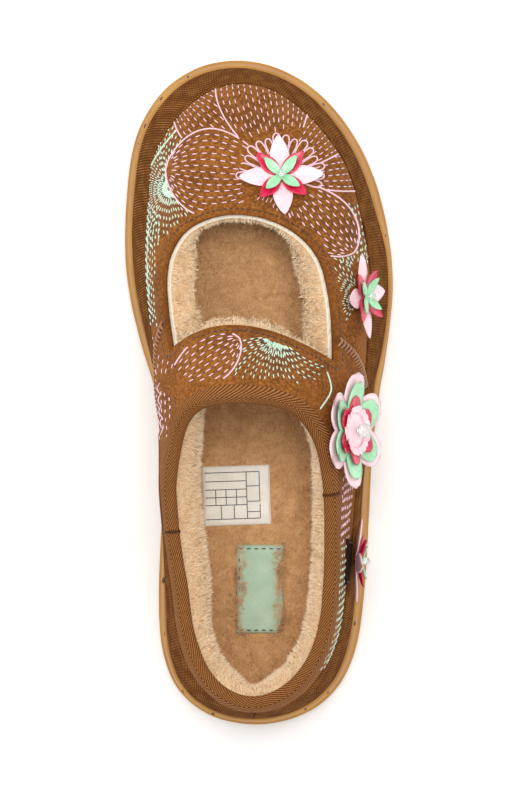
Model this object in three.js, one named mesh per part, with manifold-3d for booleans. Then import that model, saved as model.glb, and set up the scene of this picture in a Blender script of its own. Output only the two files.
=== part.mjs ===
// A right mary jane clog on a platform sole: a lined suede upper with an open throat, a strap and quarter
// panel, a bound collar, a tape-wrapped platform, a lugged outsole and four sewn-on flowers.
// Lengths are millimetres. +Z is up, +Y runs from heel to toe and +X is the outer side of the foot.
// The origin lies on the floor under the middle of the sole.

import * as THREE from 'three'
import { mergeVertices } from 'three/addons/utils/BufferGeometryUtils.js'
import ManifoldModule from 'manifold-3d'

const wasm = await ManifoldModule()
wasm.setup()

// Driving dimensions
const SOLE_LENGTH = 263
const SOLE_WIDTH = 107
const HEEL_SETBACK = 10.5
const TOE_SETBACK = 12
const SIDE_SETBACK = 9.9
const OUTSOLE_HEIGHT = 23
const PLATFORM_HEIGHT = 42
const INSTEP_RISE = 66
const COLLAR_RISE = 48
const UPPER_WALL = 2
const PANEL_STEP = 0.8
const INSOLE_THICKNESS = 5
const TAPE_THICKNESS = 0.9
const COLLAR_TAPE_DROP = 10
const PLATFORM_TAPE_THICKNESS = 1.4
const PLATFORM_TAPE_BULGE = 0.6
const TAPE_OVERLAP = 1.6
const CLEARANCE = 0.3

// The upper stands inside the sole's outline by the setbacks.
const UPPER_LENGTH = SOLE_LENGTH - HEEL_SETBACK - TOE_SETBACK
const UPPER_WIDTH = SOLE_WIDTH - 2 * SIDE_SETBACK

// Outsole details. The side draws in by its flare, and its band takes a share of that at the step.
const SIDE_LIP = 0.9
const SIDE_FLARE = 2.8
const SIDE_STEP_SHARE = 0.35
const SIDE_STEP_HEIGHT = 8
const EDGE_ROUND = 1.6
const LUG_PITCH = 11.5
const LUG_GROOVE = 3.4
const LUG_DEPTH = 2.8
const LUG_CHEVRON = 9

// Small trim. Places seen from above are shares: `x` of half the upper's width to the outer side, and `at` of
// its length from the heel. `turn` is in degrees.
const PATCH = { width: 18, length: 34, thickness: 0.8, x: 0.037, at: 0.189, turn: 0 }
const SIZE_LABEL = { width: 26, length: 23, thickness: 0.4, x: -0.172, at: 0.339, turn: 2 }
const BADGE = { length: 18, height: 11, thickness: 1, x: 0.788, at: 0.233 }

// How finely the curved faces are divided, and how often a place on a face is halved in to
const STATIONS = 32
const ARC_STEPS = 8
const PROFILE_STEPS = 20
const THROAT_STEPS = 30
const HALVINGS = 24

// Cuts reach past what they cut by this much
const REACH = 30

const FINISHES = {
  suede: { color: '#8f5726', roughness: 0.95 },
  tape: { color: '#7d4c24', roughness: 0.9 },
  foam: { color: '#c1935a', roughness: 0.7 },
  core: { color: '#c1935a', roughness: 0.8 },
  fleece: { color: '#c79f70', roughness: 1 },
  patch: { color: '#a9c9a8', roughness: 0.8 },
  label: { color: '#e9e2d2', roughness: 0.7 },
  badge: { color: '#35190c', roughness: 0.9 },
  pink: { color: '#e9c3cc', roughness: 0.35 },
  crimson: { color: '#d92c5a', roughness: 0.35 },
  mint: { color: '#a5d8ad', roughness: 0.35 },
  bead: { color: '#eef0ea', roughness: 0.05 },
}

// In these tables `at` is the share of the length from heel to toe.

// The two outlines seen from above. `half` is the half-width of the ellipse that the edge follows at that
// place and `swing` the shift of its middle to the outer side, both as shares of half the greatest width.
const SOLE_PLAN = {
  length: SOLE_LENGTH,
  width: SOLE_WIDTH,
  heel: -SOLE_LENGTH / 2,
  rows: [
    { at: 0.0, half: 1.5, swing: -0.025 },
    { at: 0.1, half: 1.168, swing: 0.0 },
    { at: 0.2, half: 0.955, swing: 0.022 },
    { at: 0.3, half: 0.84, swing: 0.048 },
    { at: 0.4, half: 0.775, swing: 0.082 },
    { at: 0.49, half: 0.823, swing: 0.07 },
    { at: 0.58, half: 0.934, swing: 0.041 },
    { at: 0.67, half: 1.05, swing: 0.011 },
    { at: 0.8, half: 1.174, swing: -0.04 },
    { at: 0.91, half: 1.306, swing: -0.112 },
    { at: 1.0, half: 1.42, swing: -0.16 },
  ],
}
const UPPER_PLAN = {
  length: UPPER_LENGTH,
  width: UPPER_WIDTH,
  heel: -SOLE_LENGTH / 2 + HEEL_SETBACK,
  rows: [
    { at: 0.0, half: 1.28, swing: 0.0 },
    { at: 0.1, half: 1.11, swing: 0.02 },
    { at: 0.2, half: 0.952, swing: 0.032 },
    { at: 0.33, half: 0.888, swing: 0.03 },
    { at: 0.43, half: 0.878, swing: 0.052 },
    { at: 0.52, half: 0.912, swing: 0.053 },
    { at: 0.6, half: 0.972, swing: 0.036 },
    { at: 0.7, half: 1.075, swing: 0.015 },
    { at: 0.8, half: 1.162, swing: -0.022 },
    { at: 0.9, half: 1.29, swing: -0.088 },
    { at: 1.0, half: 1.27, swing: -0.13 },
  ],
}

// Heights along the sole: `floor` is the underside and `lip` the outsole's top edge, as shares of the
// outsole's height, and `feather` is where the upper meets the platform, as a share of the platform's height.
const SOLE_HEIGHTS = [
  { at: 0.0, floor: 0.11, lip: 1.0, feather: 1.0 },
  { at: 0.06, floor: 0.0, lip: 0.99, feather: 0.995 },
  { at: 0.3, floor: 0.0, lip: 0.96, feather: 0.97 },
  { at: 0.4, floor: 0.07, lip: 0.94, feather: 0.95 },
  { at: 0.52, floor: 0.0, lip: 0.9, feather: 0.905 },
  { at: 0.7, floor: 0.0, lip: 0.85, feather: 0.855 },
  { at: 0.79, floor: 0.03, lip: 0.87, feather: 0.86 },
  { at: 0.9, floor: 0.17, lip: 0.96, feather: 0.9 },
  { at: 1.0, floor: 0.4, lip: 1.1, feather: 0.955 },
]

// How far the outsole's side draws in to its lip, as shares of its full draw, on the inner and outer sides.
const SIDE_DRAW = [
  { at: 0.0, inner: 1.0, outer: 1.0 },
  { at: 0.4, inner: 1.0, outer: 1.0 },
  { at: 0.5, inner: 1.0, outer: 0.7 },
  { at: 0.6, inner: 1.0, outer: 0.3 },
  { at: 0.7, inner: 1.0, outer: 0.4 },
  { at: 0.8, inner: 1.0, outer: 1.0 },
  { at: 1.0, inner: 1.0, outer: 1.0 },
]

// The ridge over the foot. `rise` is its height over the feather line as a share of the instep's rise,
// and `swing` its shift to the outer side as a share of half the upper's width.
const RIDGE = [
  { at: 0.0, rise: 1.45, swing: -0.02 },
  { at: 0.2, rise: 1.45, swing: -0.04 },
  { at: 0.33, rise: 1.33, swing: -0.07 },
  { at: 0.42, rise: 1.12, swing: -0.1 },
  { at: 0.5, rise: 0.985, swing: -0.12 },
  { at: 0.61, rise: 0.77, swing: -0.12 },
  { at: 0.78, rise: 0.445, swing: -0.13 },
  { at: 0.86, rise: 0.35, swing: -0.13 },
  { at: 1.0, rise: 0.25, swing: -0.13 },
]
const SPINE_SHARE = 0.72

// The arch over the foot on each side. Its `full` is how square it is: 2 is an ellipse, less is a slope, more
// is a box. Its `flare` is how far the wall sweeps out at its foot, as a share of the half-width there. The
// two sides are alike at the heel and at the toe, where they meet.
const ARCH = [
  { at: 0.0, innerFull: 1.82, outerFull: 1.82, innerFlare: 0.0, outerFlare: 0.0 },
  { at: 0.12, innerFull: 1.62, outerFull: 2.0, innerFlare: 0.0, outerFlare: 0.07 },
  { at: 0.3, innerFull: 1.95, outerFull: 2.6, innerFlare: 0.0, outerFlare: 0.19 },
  { at: 0.38, innerFull: 2.2, outerFull: 2.5, innerFlare: 0.0, outerFlare: 0.19 },
  { at: 0.46, innerFull: 2.25, outerFull: 2.2, innerFlare: 0.0, outerFlare: 0.15 },
  { at: 0.58, innerFull: 2.1, outerFull: 1.9, innerFlare: 0.0, outerFlare: 0.05 },
  { at: 0.7, innerFull: 2.15, outerFull: 1.9, innerFlare: 0.0, outerFlare: 0.0 },
  { at: 0.86, innerFull: 2.25, outerFull: 2.15, innerFlare: 0.0, outerFlare: 0.0 },
  { at: 1.0, innerFull: 2.3, outerFull: 2.3, innerFlare: 0.0, outerFlare: 0.0 },
]
const SIDE_BULGE = 0.035
const FLARE_FALL = 2.5

// The collar's edge seen from the side: `rise` is its height over the platform at the heel, as a share of
// the collar's rise. `tape` is how deep the tape's legs hang there, as a share of their full drop.
const TOPLINE = [
  { at: -0.1, rise: 1.06, tape: 1.25 },
  { at: 0.02, rise: 1.02, tape: 1.25 },
  { at: 0.09, rise: 0.95, tape: 1.2 },
  { at: 0.17, rise: 0.895, tape: 1.1 },
  { at: 0.26, rise: 0.868, tape: 1 },
  { at: 0.34, rise: 0.885, tape: 1 },
  { at: 0.4, rise: 0.95, tape: 0.8 },
  { at: 0.445, rise: 1.045, tape: 0.5 },
  { at: 0.47, rise: 1.13, tape: 0.42 },
  { at: 0.487, rise: 1.225, tape: 0.46 },
  { at: 0.5, rise: 1.36, tape: 0.55 },
  { at: 0.53, rise: 1.9, tape: 0.55 },
]

// The throat seen from above, as shares of half the upper's width and of its length from the heel: its front
// edge from the inner corner round to the outer one, and the middle of the strap's edge behind it.
const THROAT_FRONT = [
  { x: -0.715, at: 0.57 },
  { x: -0.77, at: 0.63 },
  { x: -0.79, at: 0.685 },
  { x: -0.745, at: 0.725 },
  { x: -0.62, at: 0.758 },
  { x: -0.42, at: 0.778 },
  { x: -0.18, at: 0.786 },
  { x: 0.12, at: 0.778 },
  { x: 0.4, at: 0.752 },
  { x: 0.585, at: 0.712 },
  { x: 0.67, at: 0.655 },
  { x: 0.7, at: 0.6 },
  { x: 0.705, at: 0.551 },
]
const STRAP_MIDDLE = { x: -0.1, at: 0.609 }

// The seam between vamp and strap panel on each side, seen from the side: from the throat's corner, which is
// `rise` over the feather line as a share of the instep's rise, down to that line. `top` and `foot` are
// shares of the upper's length.
const SEAMS = {
  inner: { top: 0.6, foot: 0.44, rise: 0.5 },
  outer: { top: 0.58, foot: 0.51, rise: 0.5 },
}

// The flowers and where each one's middle stands on the upper, in the same shares as the small trim. `turn`
// spins a flower on its face, `lean` tips it outwards from the face, `on` names what it is sewn to, and
// `stem` is the height of the sewn pad that holds it off the face.
const FLOWERS = [
  { name: 'toe_flower', kind: 'star', x: 0.229, at: 0.846, turn: 3, lean: 0, on: 'vamp', stem: 0.8 },
  { name: 'side_flower', kind: 'star', x: 0.906, at: 0.657, turn: 8, lean: 1, on: 'vamp', stem: 1.4 },
  { name: 'strap_flower', kind: 'blossom', x: 0.743, at: 0.445, turn: 0, lean: -9, on: 'panel', stem: 2.7 },
  { name: 'heel_flower', kind: 'star', x: 0.798, at: 0.237, turn: 3, lean: 9, on: 'badge', stem: 1.1 },
]
const STEM_RADIUS = 1.5

// How far each face stands out from the vamp's.
const BADGE_STEP = PANEL_STEP + 2 * CLEARANCE
const FACE_STEPS = { vamp: 0, panel: PANEL_STEP, badge: BADGE_STEP + BADGE.thickness }

// A flower's sheets from the bottom up. `reach` is a petal's length from the middle, `half` its half-width,
// `notch` where the sheet dips in between two petals and `lift` how far the tips rise.
const STAR_SHEETS = [
  { part: 'outer_petals', shape: 'leaf', count: 4, reach: 16.4, half: 3.5, notch: 4, turn: 0, lift: 1.6 },
  { part: 'middle_petals', shape: 'leaf', count: 4, reach: 12.8, half: 2.7, notch: 3.4, turn: 45, lift: 2 },
  { part: 'inner_petals', shape: 'leaf', count: 4, reach: 9.4, half: 1.9, notch: 2.7, turn: 45, lift: 2.2 },
]
const BLOSSOM_SHEETS = [
  { part: 'outer_petals', shape: 'round', count: 6, reach: 22, half: 6.2, notch: 8, turn: 30, lift: 3 },
  { part: 'middle_petals', shape: 'round', count: 6, reach: 18.6, half: 4.9, notch: 7, turn: 30, lift: 3.2 },
  { part: 'inner_petals', shape: 'round', count: 6, reach: 13.2, half: 3.3, notch: 5, turn: 30, lift: 1.5 },
  { part: 'fringe', shape: 'tooth', count: 18, reach: 9.4, half: 0, notch: 7.6, turn: 0, lift: 0.7 },
]
const FLOWER_KINDS = {
  star: { sheets: STAR_SHEETS, finishes: ['pink', 'crimson', 'mint'], beadRadius: 1.6 },
  blossom: { sheets: BLOSSOM_SHEETS, finishes: ['pink', 'mint', 'crimson', 'pink'], beadRadius: 2.9 },
}

// A petal's edge from its root to its tip, as shares of its reach and of its half-width.
const PETAL_SHAPES = {
  leaf: [
    { along: 0.44, half: 1 },
    { along: 0.78, half: 0.66 },
  ],
  round: [
    { along: 0.6, half: 1 },
    { along: 0.88, half: 0.8 },
  ],
  tooth: [],
}
const PETAL_THICKNESS = 0.5
const PETAL_CREASE = 0.35
const PETAL_GAP = 0.1

/** The smooth value of one column of a table at a place along it. */
function read(table, column, at) {
  const last = table.length - 1
  let i = 0
  while (i < last - 1 && at > table[i + 1].at) i++
  const rate = (row) => (table[row + 1][column] - table[row][column]) / (table[row + 1].at - table[row].at)
  const slope = (row) => {
    if (row === 0 || row === last) return rate(Math.min(row, last - 1))
    const before = rate(row - 1)
    const after = rate(row)
    return before * after > 0 ? (2 * before * after) / (before + after) : 0
  }
  const span = table[i + 1].at - table[i].at
  const t = (at - table[i].at) / span
  const fall = t * t * (3 - 2 * t)
  return (
    table[i][column] * (1 - fall) +
    table[i + 1][column] * fall +
    span * t * (1 - t) * ((1 - t) * slope(i) - t * slope(i + 1))
  )
}

/** The share of the length that a station stands for: stations crowd towards heel and toe. */
function shareOf(station) {
  return (1 - Math.cos(Math.PI * station)) / 2
}

/** A point of an outline, on the inner side (-1) or the outer side (+1). */
function edgePoint(plan, station, side) {
  const at = shareOf(station)
  const width = Math.sin(Math.PI * station) * read(plan.rows, 'half', at)
  const x = (plan.width / 2) * (read(plan.rows, 'swing', at) + side * width)
  return new THREE.Vector2(x, plan.heel + plan.length * at)
}

/** The same point moved inwards, square to the outline. */
function insetPoint(plan, station, side, inset) {
  const step = 1e-3
  const point = edgePoint(plan, station, side)
  const toToe = edgePoint(plan, Math.min(station + step, 1), side)
  const toHeel = edgePoint(plan, Math.max(station - step, 0), side)
  const along = toToe.sub(toHeel)
  if (station < step || station > 1 - step) along.set(station < 0.5 ? side : -side, 0)
  const inwards = new THREE.Vector2(-along.y, along.x).normalize().multiplyScalar(side * inset)
  return point.add(inwards)
}

/** Floor, lip or feather height at a place along the sole. */
function soleHeight(column, y) {
  const at = THREE.MathUtils.clamp((y + SOLE_LENGTH / 2) / SOLE_LENGTH, 0, 1)
  const unit = column === 'feather' ? PLATFORM_HEIGHT : OUTSOLE_HEIGHT
  return unit * read(SOLE_HEIGHTS, column, at)
}

/** A closed ring of points, heel to toe on the outer side and back on the inner side. */
function ringOf(pointAt) {
  const points = []
  for (let i = 0; i < 2 * STATIONS; i++) {
    const side = i <= STATIONS ? 1 : -1
    const station = (side > 0 ? i : 2 * STATIONS - i) / STATIONS
    points.push(pointAt(station, side))
  }
  return points
}

/** The ring inside an outline by one inset, at a height that follows the length. */
function ring(plan, inset, height) {
  return ringOf((station, side) => {
    const { x, y } = insetPoint(plan, station, side, inset)
    return new THREE.Vector3(x, y, height(y))
  })
}

/** The ring inside the sole's outline by a share of the side's draw and one more inset. */
function drawnRing(share, inset, height) {
  return ringOf((station, side) => {
    const draw = SIDE_FLARE * read(SIDE_DRAW, side < 0 ? 'inner' : 'outer', shareOf(station))
    const { x, y } = insetPoint(SOLE_PLAN, station, side, share * draw + inset)
    return new THREE.Vector3(x, y, height(y))
  })
}

/** A ring part of the way from one ring to another. */
function between(from, to, share) {
  return from.map((point, i) => point.clone().lerp(to[i], share))
}

/** A ring pushed outwards over the floor, and raised. */
function swell(points, outwards, up = 0) {
  return points.map((point, i) => {
    const before = points.at(i - 1)
    const after = points[(i + 1) % points.length]
    const normal = new THREE.Vector3(after.y - before.y, before.x - after.x, 0).normalize()
    return point.clone().addScaledVector(normal, outwards).add(new THREE.Vector3(0, 0, up))
  })
}

function geometryOf(points, faces) {
  const geometry = new THREE.BufferGeometry()
  const flat = points.flatMap((point) => [point.x, point.y, point.z])
  geometry.setAttribute('position', new THREE.Float32BufferAttribute(flat, 3))
  geometry.setIndex(faces.flat())
  return geometry
}

/** The two triangles of a quad. */
function quad(a, b, c, d) {
  return [
    [a, b, c],
    [a, c, d],
  ]
}

/** The faces that close a ring from side to side, facing up. */
function capFaces(first, count) {
  const faces = []
  const half = count / 2
  for (let i = 0; i < half; i++) {
    const a = first + i
    const b = first + i + 1
    const c = first + ((count - i - 1) % count)
    const d = first + ((count - i) % count)
    if (i === 0) faces.push([a, b, c])
    else if (i === half - 1) faces.push([a, b, d])
    else faces.push(...quad(a, b, c, d))
  }
  return faces
}

/** The side faces between a ring and the next, facing outwards when the next ring is above. */
function wallFaces(lower, upper, count) {
  const faces = []
  for (let i = 0; i < count; i++) {
    const j = (i + 1) % count
    faces.push(...quad(lower + i, lower + j, upper + j, upper + i))
  }
  return faces
}

/** A solid of rings from bottom to top, closed by a cap at each end. */
function stack(rings) {
  const count = rings[0].length
  const faces = capFaces(0, count).map(([a, b, c]) => [a, c, b])
  for (let k = 0; k + 1 < rings.length; k++) faces.push(...wallFaces(k * count, (k + 1) * count, count))
  faces.push(...capFaces((rings.length - 1) * count, count))
  return geometryOf(rings.flat(), faces)
}

/** A hoop whose section is given by rings, counted up its outer face and down its inner one. */
function hoop(rings) {
  const count = rings[0].length
  const faces = []
  rings.forEach((_, k) => faces.push(...wallFaces(k * count, ((k + 1) % rings.length) * count, count)))
  return geometryOf(rings.flat(), faces)
}

/** A solid for joining and cutting, from a closed geometry. */
function solidOf(geometry) {
  const bare = geometry.clone()
  bare.deleteAttribute('normal')
  bare.deleteAttribute('uv')
  const merged = mergeVertices(bare, 1e-4)
  const index = Array.from(merged.index.array)
  const kept = []
  for (let i = 0; i < index.length; i += 3) {
    const [a, b, c] = index.slice(i, i + 3)
    if (a !== b && b !== c && c !== a) kept.push(a, b, c)
  }
  const vertProperties = new Float32Array(merged.attributes.position.array)
  return new wasm.Manifold(new wasm.Mesh({ numProp: 3, vertProperties, triVerts: new Uint32Array(kept) }))
}

/** The geometry of a solid that has been joined or cut. */
function geometryFrom(solid) {
  const mesh = solid.getMesh()
  const geometry = new THREE.BufferGeometry()
  geometry.setAttribute('position', new THREE.BufferAttribute(new Float32Array(mesh.vertProperties), 3))
  geometry.setIndex(Array.from(mesh.triVerts))
  return geometry
}

/** A prism on a side view's outline, its points given as (y, z), that spans a range of x. */
function sidePrism(outline, fromX, toX) {
  const depth = toX - fromX
  const geometry = new THREE.ExtrudeGeometry(new THREE.Shape(outline), { depth, bevelEnabled: false })
  geometry.applyMatrix4(new THREE.Matrix4().set(0, 0, 1, fromX, 1, 0, 0, 0, 0, 1, 0, 0, 0, 0, 0, 1))
  return solidOf(geometry)
}

/** A prism on an outline seen from above. */
function planPrism(shape, bottom, top) {
  const geometry = new THREE.ExtrudeGeometry(shape, { depth: top - bottom, bevelEnabled: false })
  geometry.translate(0, 0, bottom)
  return solidOf(geometry)
}

/** The place along the upper, from its share of the length. */
function upperY(at) {
  return UPPER_PLAN.heel + UPPER_LENGTH * at
}

/** A place seen from above, from its shares of the upper's half-width and length. */
function planPoint({ x, at }) {
  return new THREE.Vector2((UPPER_WIDTH / 2) * x, upperY(at))
}

/** A point of the upper: `across` is -1 at the inner feather line, 0 on the ridge and 1 at the outer line. */
function skin(station, across, depth = 0) {
  const side = across < 0 ? -1 : 1
  const at = shareOf(station)
  const foot = insetPoint(UPPER_PLAN, station, side, depth)
  const footZ = soleHeight('feather', foot.y)
  const ridgeAt = 0.5 + (at - 0.5) * SPINE_SHARE
  const ridgeX = (UPPER_WIDTH / 2) * read(RIDGE, 'swing', ridgeAt)
  const ridgeY = upperY(ridgeAt)
  const ridgeZ = soleHeight('feather', ridgeY) + INSTEP_RISE * read(RIDGE, 'rise', ridgeAt) - depth
  const flank = side < 0 ? 'inner' : 'outer'
  const power = 2 / read(ARCH, `${flank}Full`, at)
  const flare = read(ARCH, `${flank}Flare`, at)
  const angle = (1 - Math.abs(across)) * (Math.PI / 2)
  const upwards = Math.sin(angle) ** power
  const arch = Math.cos(angle) ** power + SIDE_BULGE * Math.sin(Math.PI * upwards)
  const outwards = (1 - flare) * arch + flare * (1 - upwards) ** FLARE_FALL
  const lengthwise = outwards * outwards * (2 - outwards)
  return new THREE.Vector3(
    ridgeX + (foot.x - ridgeX) * outwards,
    ridgeY + (foot.y - ridgeY) * lengthwise,
    footZ + (ridgeZ - footZ) * upwards,
  )
}

/** The wall's point on one side that stands at some height over the feather line. */
function wallPoint(station, side, rise, depth) {
  const upwards = (share) => {
    const point = skin(station, side * (1 - share), depth)
    return point.z - soleHeight('feather', point.y)
  }
  return skin(station, side * (1 - solve(0, 0.6, rise, upwards)), depth)
}

/** The outward direction of the upper's face. */
function skinNormal(station, across) {
  const step = 0.01
  const along = skin(station + step, across).sub(skin(station - step, across))
  const over = skin(station, across + step).sub(skin(station, across - step))
  return over.cross(along).normalize()
}

/** The whole closed form over the foot at one depth, with its underside `drop` below the feather line. */
function dome(depth, drop = 0) {
  const width = 2 * ARC_STEPS + 1
  const columns = drop > 0 ? width + 2 : width
  const points = []
  for (let i = 0; i <= STATIONS; i++) {
    const row = []
    for (let j = 0; j < width; j++) row.push(skin(i / STATIONS, j / ARC_STEPS - 1, depth))
    if (drop > 0) {
      const below = new THREE.Vector3(0, 0, -drop)
      row.unshift(row[0].clone().add(below))
      row.push(row.at(-1).clone().add(below))
    }
    points.push(...row)
  }
  const faces = []
  for (let i = 0; i < STATIONS; i++) {
    const here = i * columns
    const next = here + columns
    for (let j = 0; j + 1 < columns; j++) faces.push(...quad(here + j, here + j + 1, next + j + 1, next + j))
    faces.push(...quad(here + columns - 1, here, next, next + columns - 1))
  }
  return solidOf(geometryOf(points, faces))
}

/** The collar's edge in the side view, moved square to itself by a distance that each place may set. */
function toplinePoints(distanceAt) {
  const first = TOPLINE[0].at
  const last = TOPLINE.at(-1).at
  const base = soleHeight('feather', upperY(0))
  const points = []
  const distances = []
  for (let i = 0; i <= PROFILE_STEPS; i++) {
    const at = first + (last - first) * Math.sin((i / PROFILE_STEPS) * (Math.PI / 2))
    points.push(new THREE.Vector2(upperY(at), base + COLLAR_RISE * read(TOPLINE, 'rise', at)))
    distances.push(distanceAt(at))
  }
  return points.map((point, i) => {
    const before = points[Math.max(i - 1, 0)]
    const after = points[Math.min(i + 1, PROFILE_STEPS)]
    const normal = new THREE.Vector2(before.y - after.y, after.x - before.x).normalize()
    return point.clone().addScaledVector(normal, distances[i])
  })
}

/** All the space over the collar's edge, or over a line at some distance from it. */
function aboveTopline(distanceAt) {
  const edge = toplinePoints(distanceAt)
  const roof = PLATFORM_HEIGHT + 2 * INSTEP_RISE
  const back = upperY(0) - REACH
  const outline = [new THREE.Vector2(back, edge[0].y), ...edge, new THREE.Vector2(edge.at(-1).x, roof)]
  outline.push(new THREE.Vector2(back, roof))
  return sidePrism(outline, -SOLE_WIDTH, SOLE_WIDTH)
}

/** The throat's outline seen from above: a curve round its front and an arc along the strap. */
function throatShape() {
  const front = THROAT_FRONT.map(planPoint)
  const ends = [front.at(-1), front[0]]
  const halfway = ends[0].clone().lerp(ends[1], 0.5)
  const handle = planPoint(STRAP_MIDDLE).multiplyScalar(2).sub(halfway)
  const strap = new THREE.QuadraticBezierCurve(ends[0], handle, ends[1]).getPoints(THROAT_STEPS / 3)
  return new THREE.Shape([...new THREE.SplineCurve(front).getPoints(THROAT_STEPS), ...strap.slice(1, -1)])
}

/** The space behind the seams, where the strap panel lies over the vamp. */
function panelRegion() {
  const high = PLATFORM_HEIGHT + 2 * INSTEP_RISE
  const back = upperY(0) - REACH
  const half = ({ top, foot, rise }, fromX, toX) => {
    const seamTop = soleHeight('feather', upperY(top)) + INSTEP_RISE * rise
    const seamFoot = soleHeight('feather', upperY(foot))
    const outline = [
      new THREE.Vector2(back, -REACH),
      new THREE.Vector2(upperY(foot), -REACH),
      new THREE.Vector2(upperY(foot), seamFoot),
      new THREE.Vector2(upperY(top), seamTop),
      new THREE.Vector2(upperY(STRAP_MIDDLE.at), seamTop),
      new THREE.Vector2(upperY(STRAP_MIDDLE.at), high),
      new THREE.Vector2(back, high),
    ]
    return sidePrism(outline, fromX, toX)
  }
  return half(SEAMS.inner, -SOLE_WIDTH, 0).add(half(SEAMS.outer, 0, SOLE_WIDTH))
}

/** The upper: one wall, thicker by a step where the strap panel lies over the vamp. */
function upperGeometry() {
  const panel = dome(-PANEL_STEP).intersect(panelRegion())
  const throat = planPrism(throatShape(), 0, PLATFORM_HEIGHT + 2 * INSTEP_RISE)
  const shell = dome(0).add(panel).subtract(dome(UPPER_WALL, REACH))
  return geometryFrom(shell.subtract(throat).subtract(aboveTopline(() => 0)))
}

/** The tape folded over the collar's edge: a channel that leaves a clearance to the wall inside it. */
function collarTapeGeometry() {
  const outer = PANEL_STEP + CLEARANCE
  const inner = UPPER_WALL + CLEARANCE
  const legEnd = (at) => -COLLAR_TAPE_DROP * read(TOPLINE, 'tape', at)
  const rim = aboveTopline(legEnd).subtract(aboveTopline(() => CLEARANCE + TAPE_THICKNESS))
  const whole = dome(-outer - TAPE_THICKNESS, REACH).subtract(dome(inner + TAPE_THICKNESS, 2 * REACH))
  const core = dome(-outer, 2 * REACH).subtract(dome(inner, 2 * REACH))
  const channel = core.subtract(aboveTopline(() => CLEARANCE))
  return geometryFrom(whole.intersect(rim).subtract(channel))
}

/** The ring where the platform tape starts, just inside the outsole's lip. */
function platformFoot(inset, rise) {
  return drawnRing(1, SIDE_LIP + inset, (y) => soleHeight('lip', y) + rise)
}

/** How far the upper's face stands out at its foot: by the panel's step behind the seams. */
function footStep(station, side) {
  const seam = side < 0 ? SEAMS.inner : SEAMS.outer
  const margin = 1 / STATIONS
  return shareOf(station - margin) < seam.foot ? PANEL_STEP : 0
}

/** The ring on the upper's outer face at some height over the feather line, moved outwards. */
function platformHead(outwards, rise) {
  return ringOf((station, side) => wallPoint(station, side, rise, -outwards - footStep(station, side)))
}

/** The platform's core, inside the tape. */
function midsoleGeometry() {
  const foot = platformFoot(PLATFORM_TAPE_THICKNESS + CLEARANCE, CLEARANCE)
  const head = ring(UPPER_PLAN, CLEARANCE, (y) => soleHeight('feather', y) - CLEARANCE)
  return stack([foot, head])
}

/** The tape round the platform, from the outsole's lip up to the upper, which it overlaps. */
function platformTapeGeometry() {
  const inner = CLEARANCE
  const outer = inner + PLATFORM_TAPE_THICKNESS
  const footOut = platformFoot(0, CLEARANCE)
  const headOut = platformHead(outer, 0)
  const footIn = platformFoot(PLATFORM_TAPE_THICKNESS, CLEARANCE)
  const headIn = platformHead(inner, 0)
  return hoop([
    footOut,
    swell(between(footOut, headOut, 0.5), PLATFORM_TAPE_BULGE),
    headOut,
    platformHead(outer - TAPE_THICKNESS / 2, TAPE_OVERLAP),
    platformHead(inner, TAPE_OVERLAP),
    headIn,
    swell(between(footIn, headIn, 0.5), PLATFORM_TAPE_BULGE),
    footIn,
  ])
}

/** The outsole's body: a rounded bottom edge, a band that steps out and a wall that draws in to the lip. */
function outsoleBody() {
  const floor = (rise) => (y) => soleHeight('floor', y) + rise
  const lip = (drop) => (y) => soleHeight('lip', y) - drop
  return solidOf(
    stack([
      ring(SOLE_PLAN, EDGE_ROUND, floor(0)),
      ring(SOLE_PLAN, 0, floor(EDGE_ROUND)),
      ring(SOLE_PLAN, 0, floor(SIDE_STEP_HEIGHT)),
      drawnRing(SIDE_STEP_SHARE, 0, floor(SIDE_STEP_HEIGHT + SIDE_FLARE * SIDE_STEP_SHARE)),
      drawnRing(1 - SIDE_STEP_SHARE / 2, 0, lip(SIDE_LIP)),
      drawnRing(1, 0, lip(0)),
    ]),
  )
}

/** One groove of the tread: a chevron across the sole, its point towards the toe. */
function treadGroove(y) {
  const reach = SOLE_WIDTH
  const rise = (LUG_CHEVRON * 2 * reach) / SOLE_WIDTH
  const half = LUG_GROOVE / 2
  const shape = new THREE.Shape([
    new THREE.Vector2(-reach, y - rise - half),
    new THREE.Vector2(0, y - half),
    new THREE.Vector2(reach, y - rise - half),
    new THREE.Vector2(reach, y - rise + half),
    new THREE.Vector2(0, y + half),
    new THREE.Vector2(-reach, y - rise + half),
  ])
  const top = soleHeight('floor', y - LUG_CHEVRON / 2) + LUG_DEPTH
  return planPrism(shape, -REACH, top)
}

/** The outsole with its lugs. */
function outsoleGeometry() {
  let sole = outsoleBody()
  const count = Math.floor((SOLE_LENGTH + LUG_CHEVRON) / LUG_PITCH)
  for (let i = 1; i <= count; i++) sole = sole.subtract(treadGroove(-SOLE_LENGTH / 2 + i * LUG_PITCH))
  return geometryFrom(sole)
}

/** The insole's height at a place along the sole. */
function insoleTop(y) {
  return soleHeight('feather', y) + INSOLE_THICKNESS
}

/** The padded insole, its upper edge rounded off. */
function insoleGeometry() {
  const inset = UPPER_WALL + CLEARANCE
  const round = INSOLE_THICKNESS / 3
  const wall = (rise, depth) => ringOf((station, side) => wallPoint(station, side, rise, depth))
  return stack([
    wall(0, inset),
    wall(INSOLE_THICKNESS - round, inset),
    wall(INSOLE_THICKNESS, inset + round),
  ])
}

/** A thin plate lying on the insole. */
function insolePlate({ width, length, thickness, turn, ...place }) {
  const geometry = new THREE.BoxGeometry(width, length, thickness)
  const { x, y } = planPoint(place)
  const middle = (insoleTop(y + length / 2) + insoleTop(y - length / 2)) / 2
  const pitch = Math.atan2(insoleTop(y + length / 2) - insoleTop(y - length / 2), length)
  geometry.rotateZ(THREE.MathUtils.degToRad(turn))
  geometry.rotateX(pitch)
  geometry.translate(x, y, middle + CLEARANCE + thickness / 2)
  return geometry
}

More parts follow.
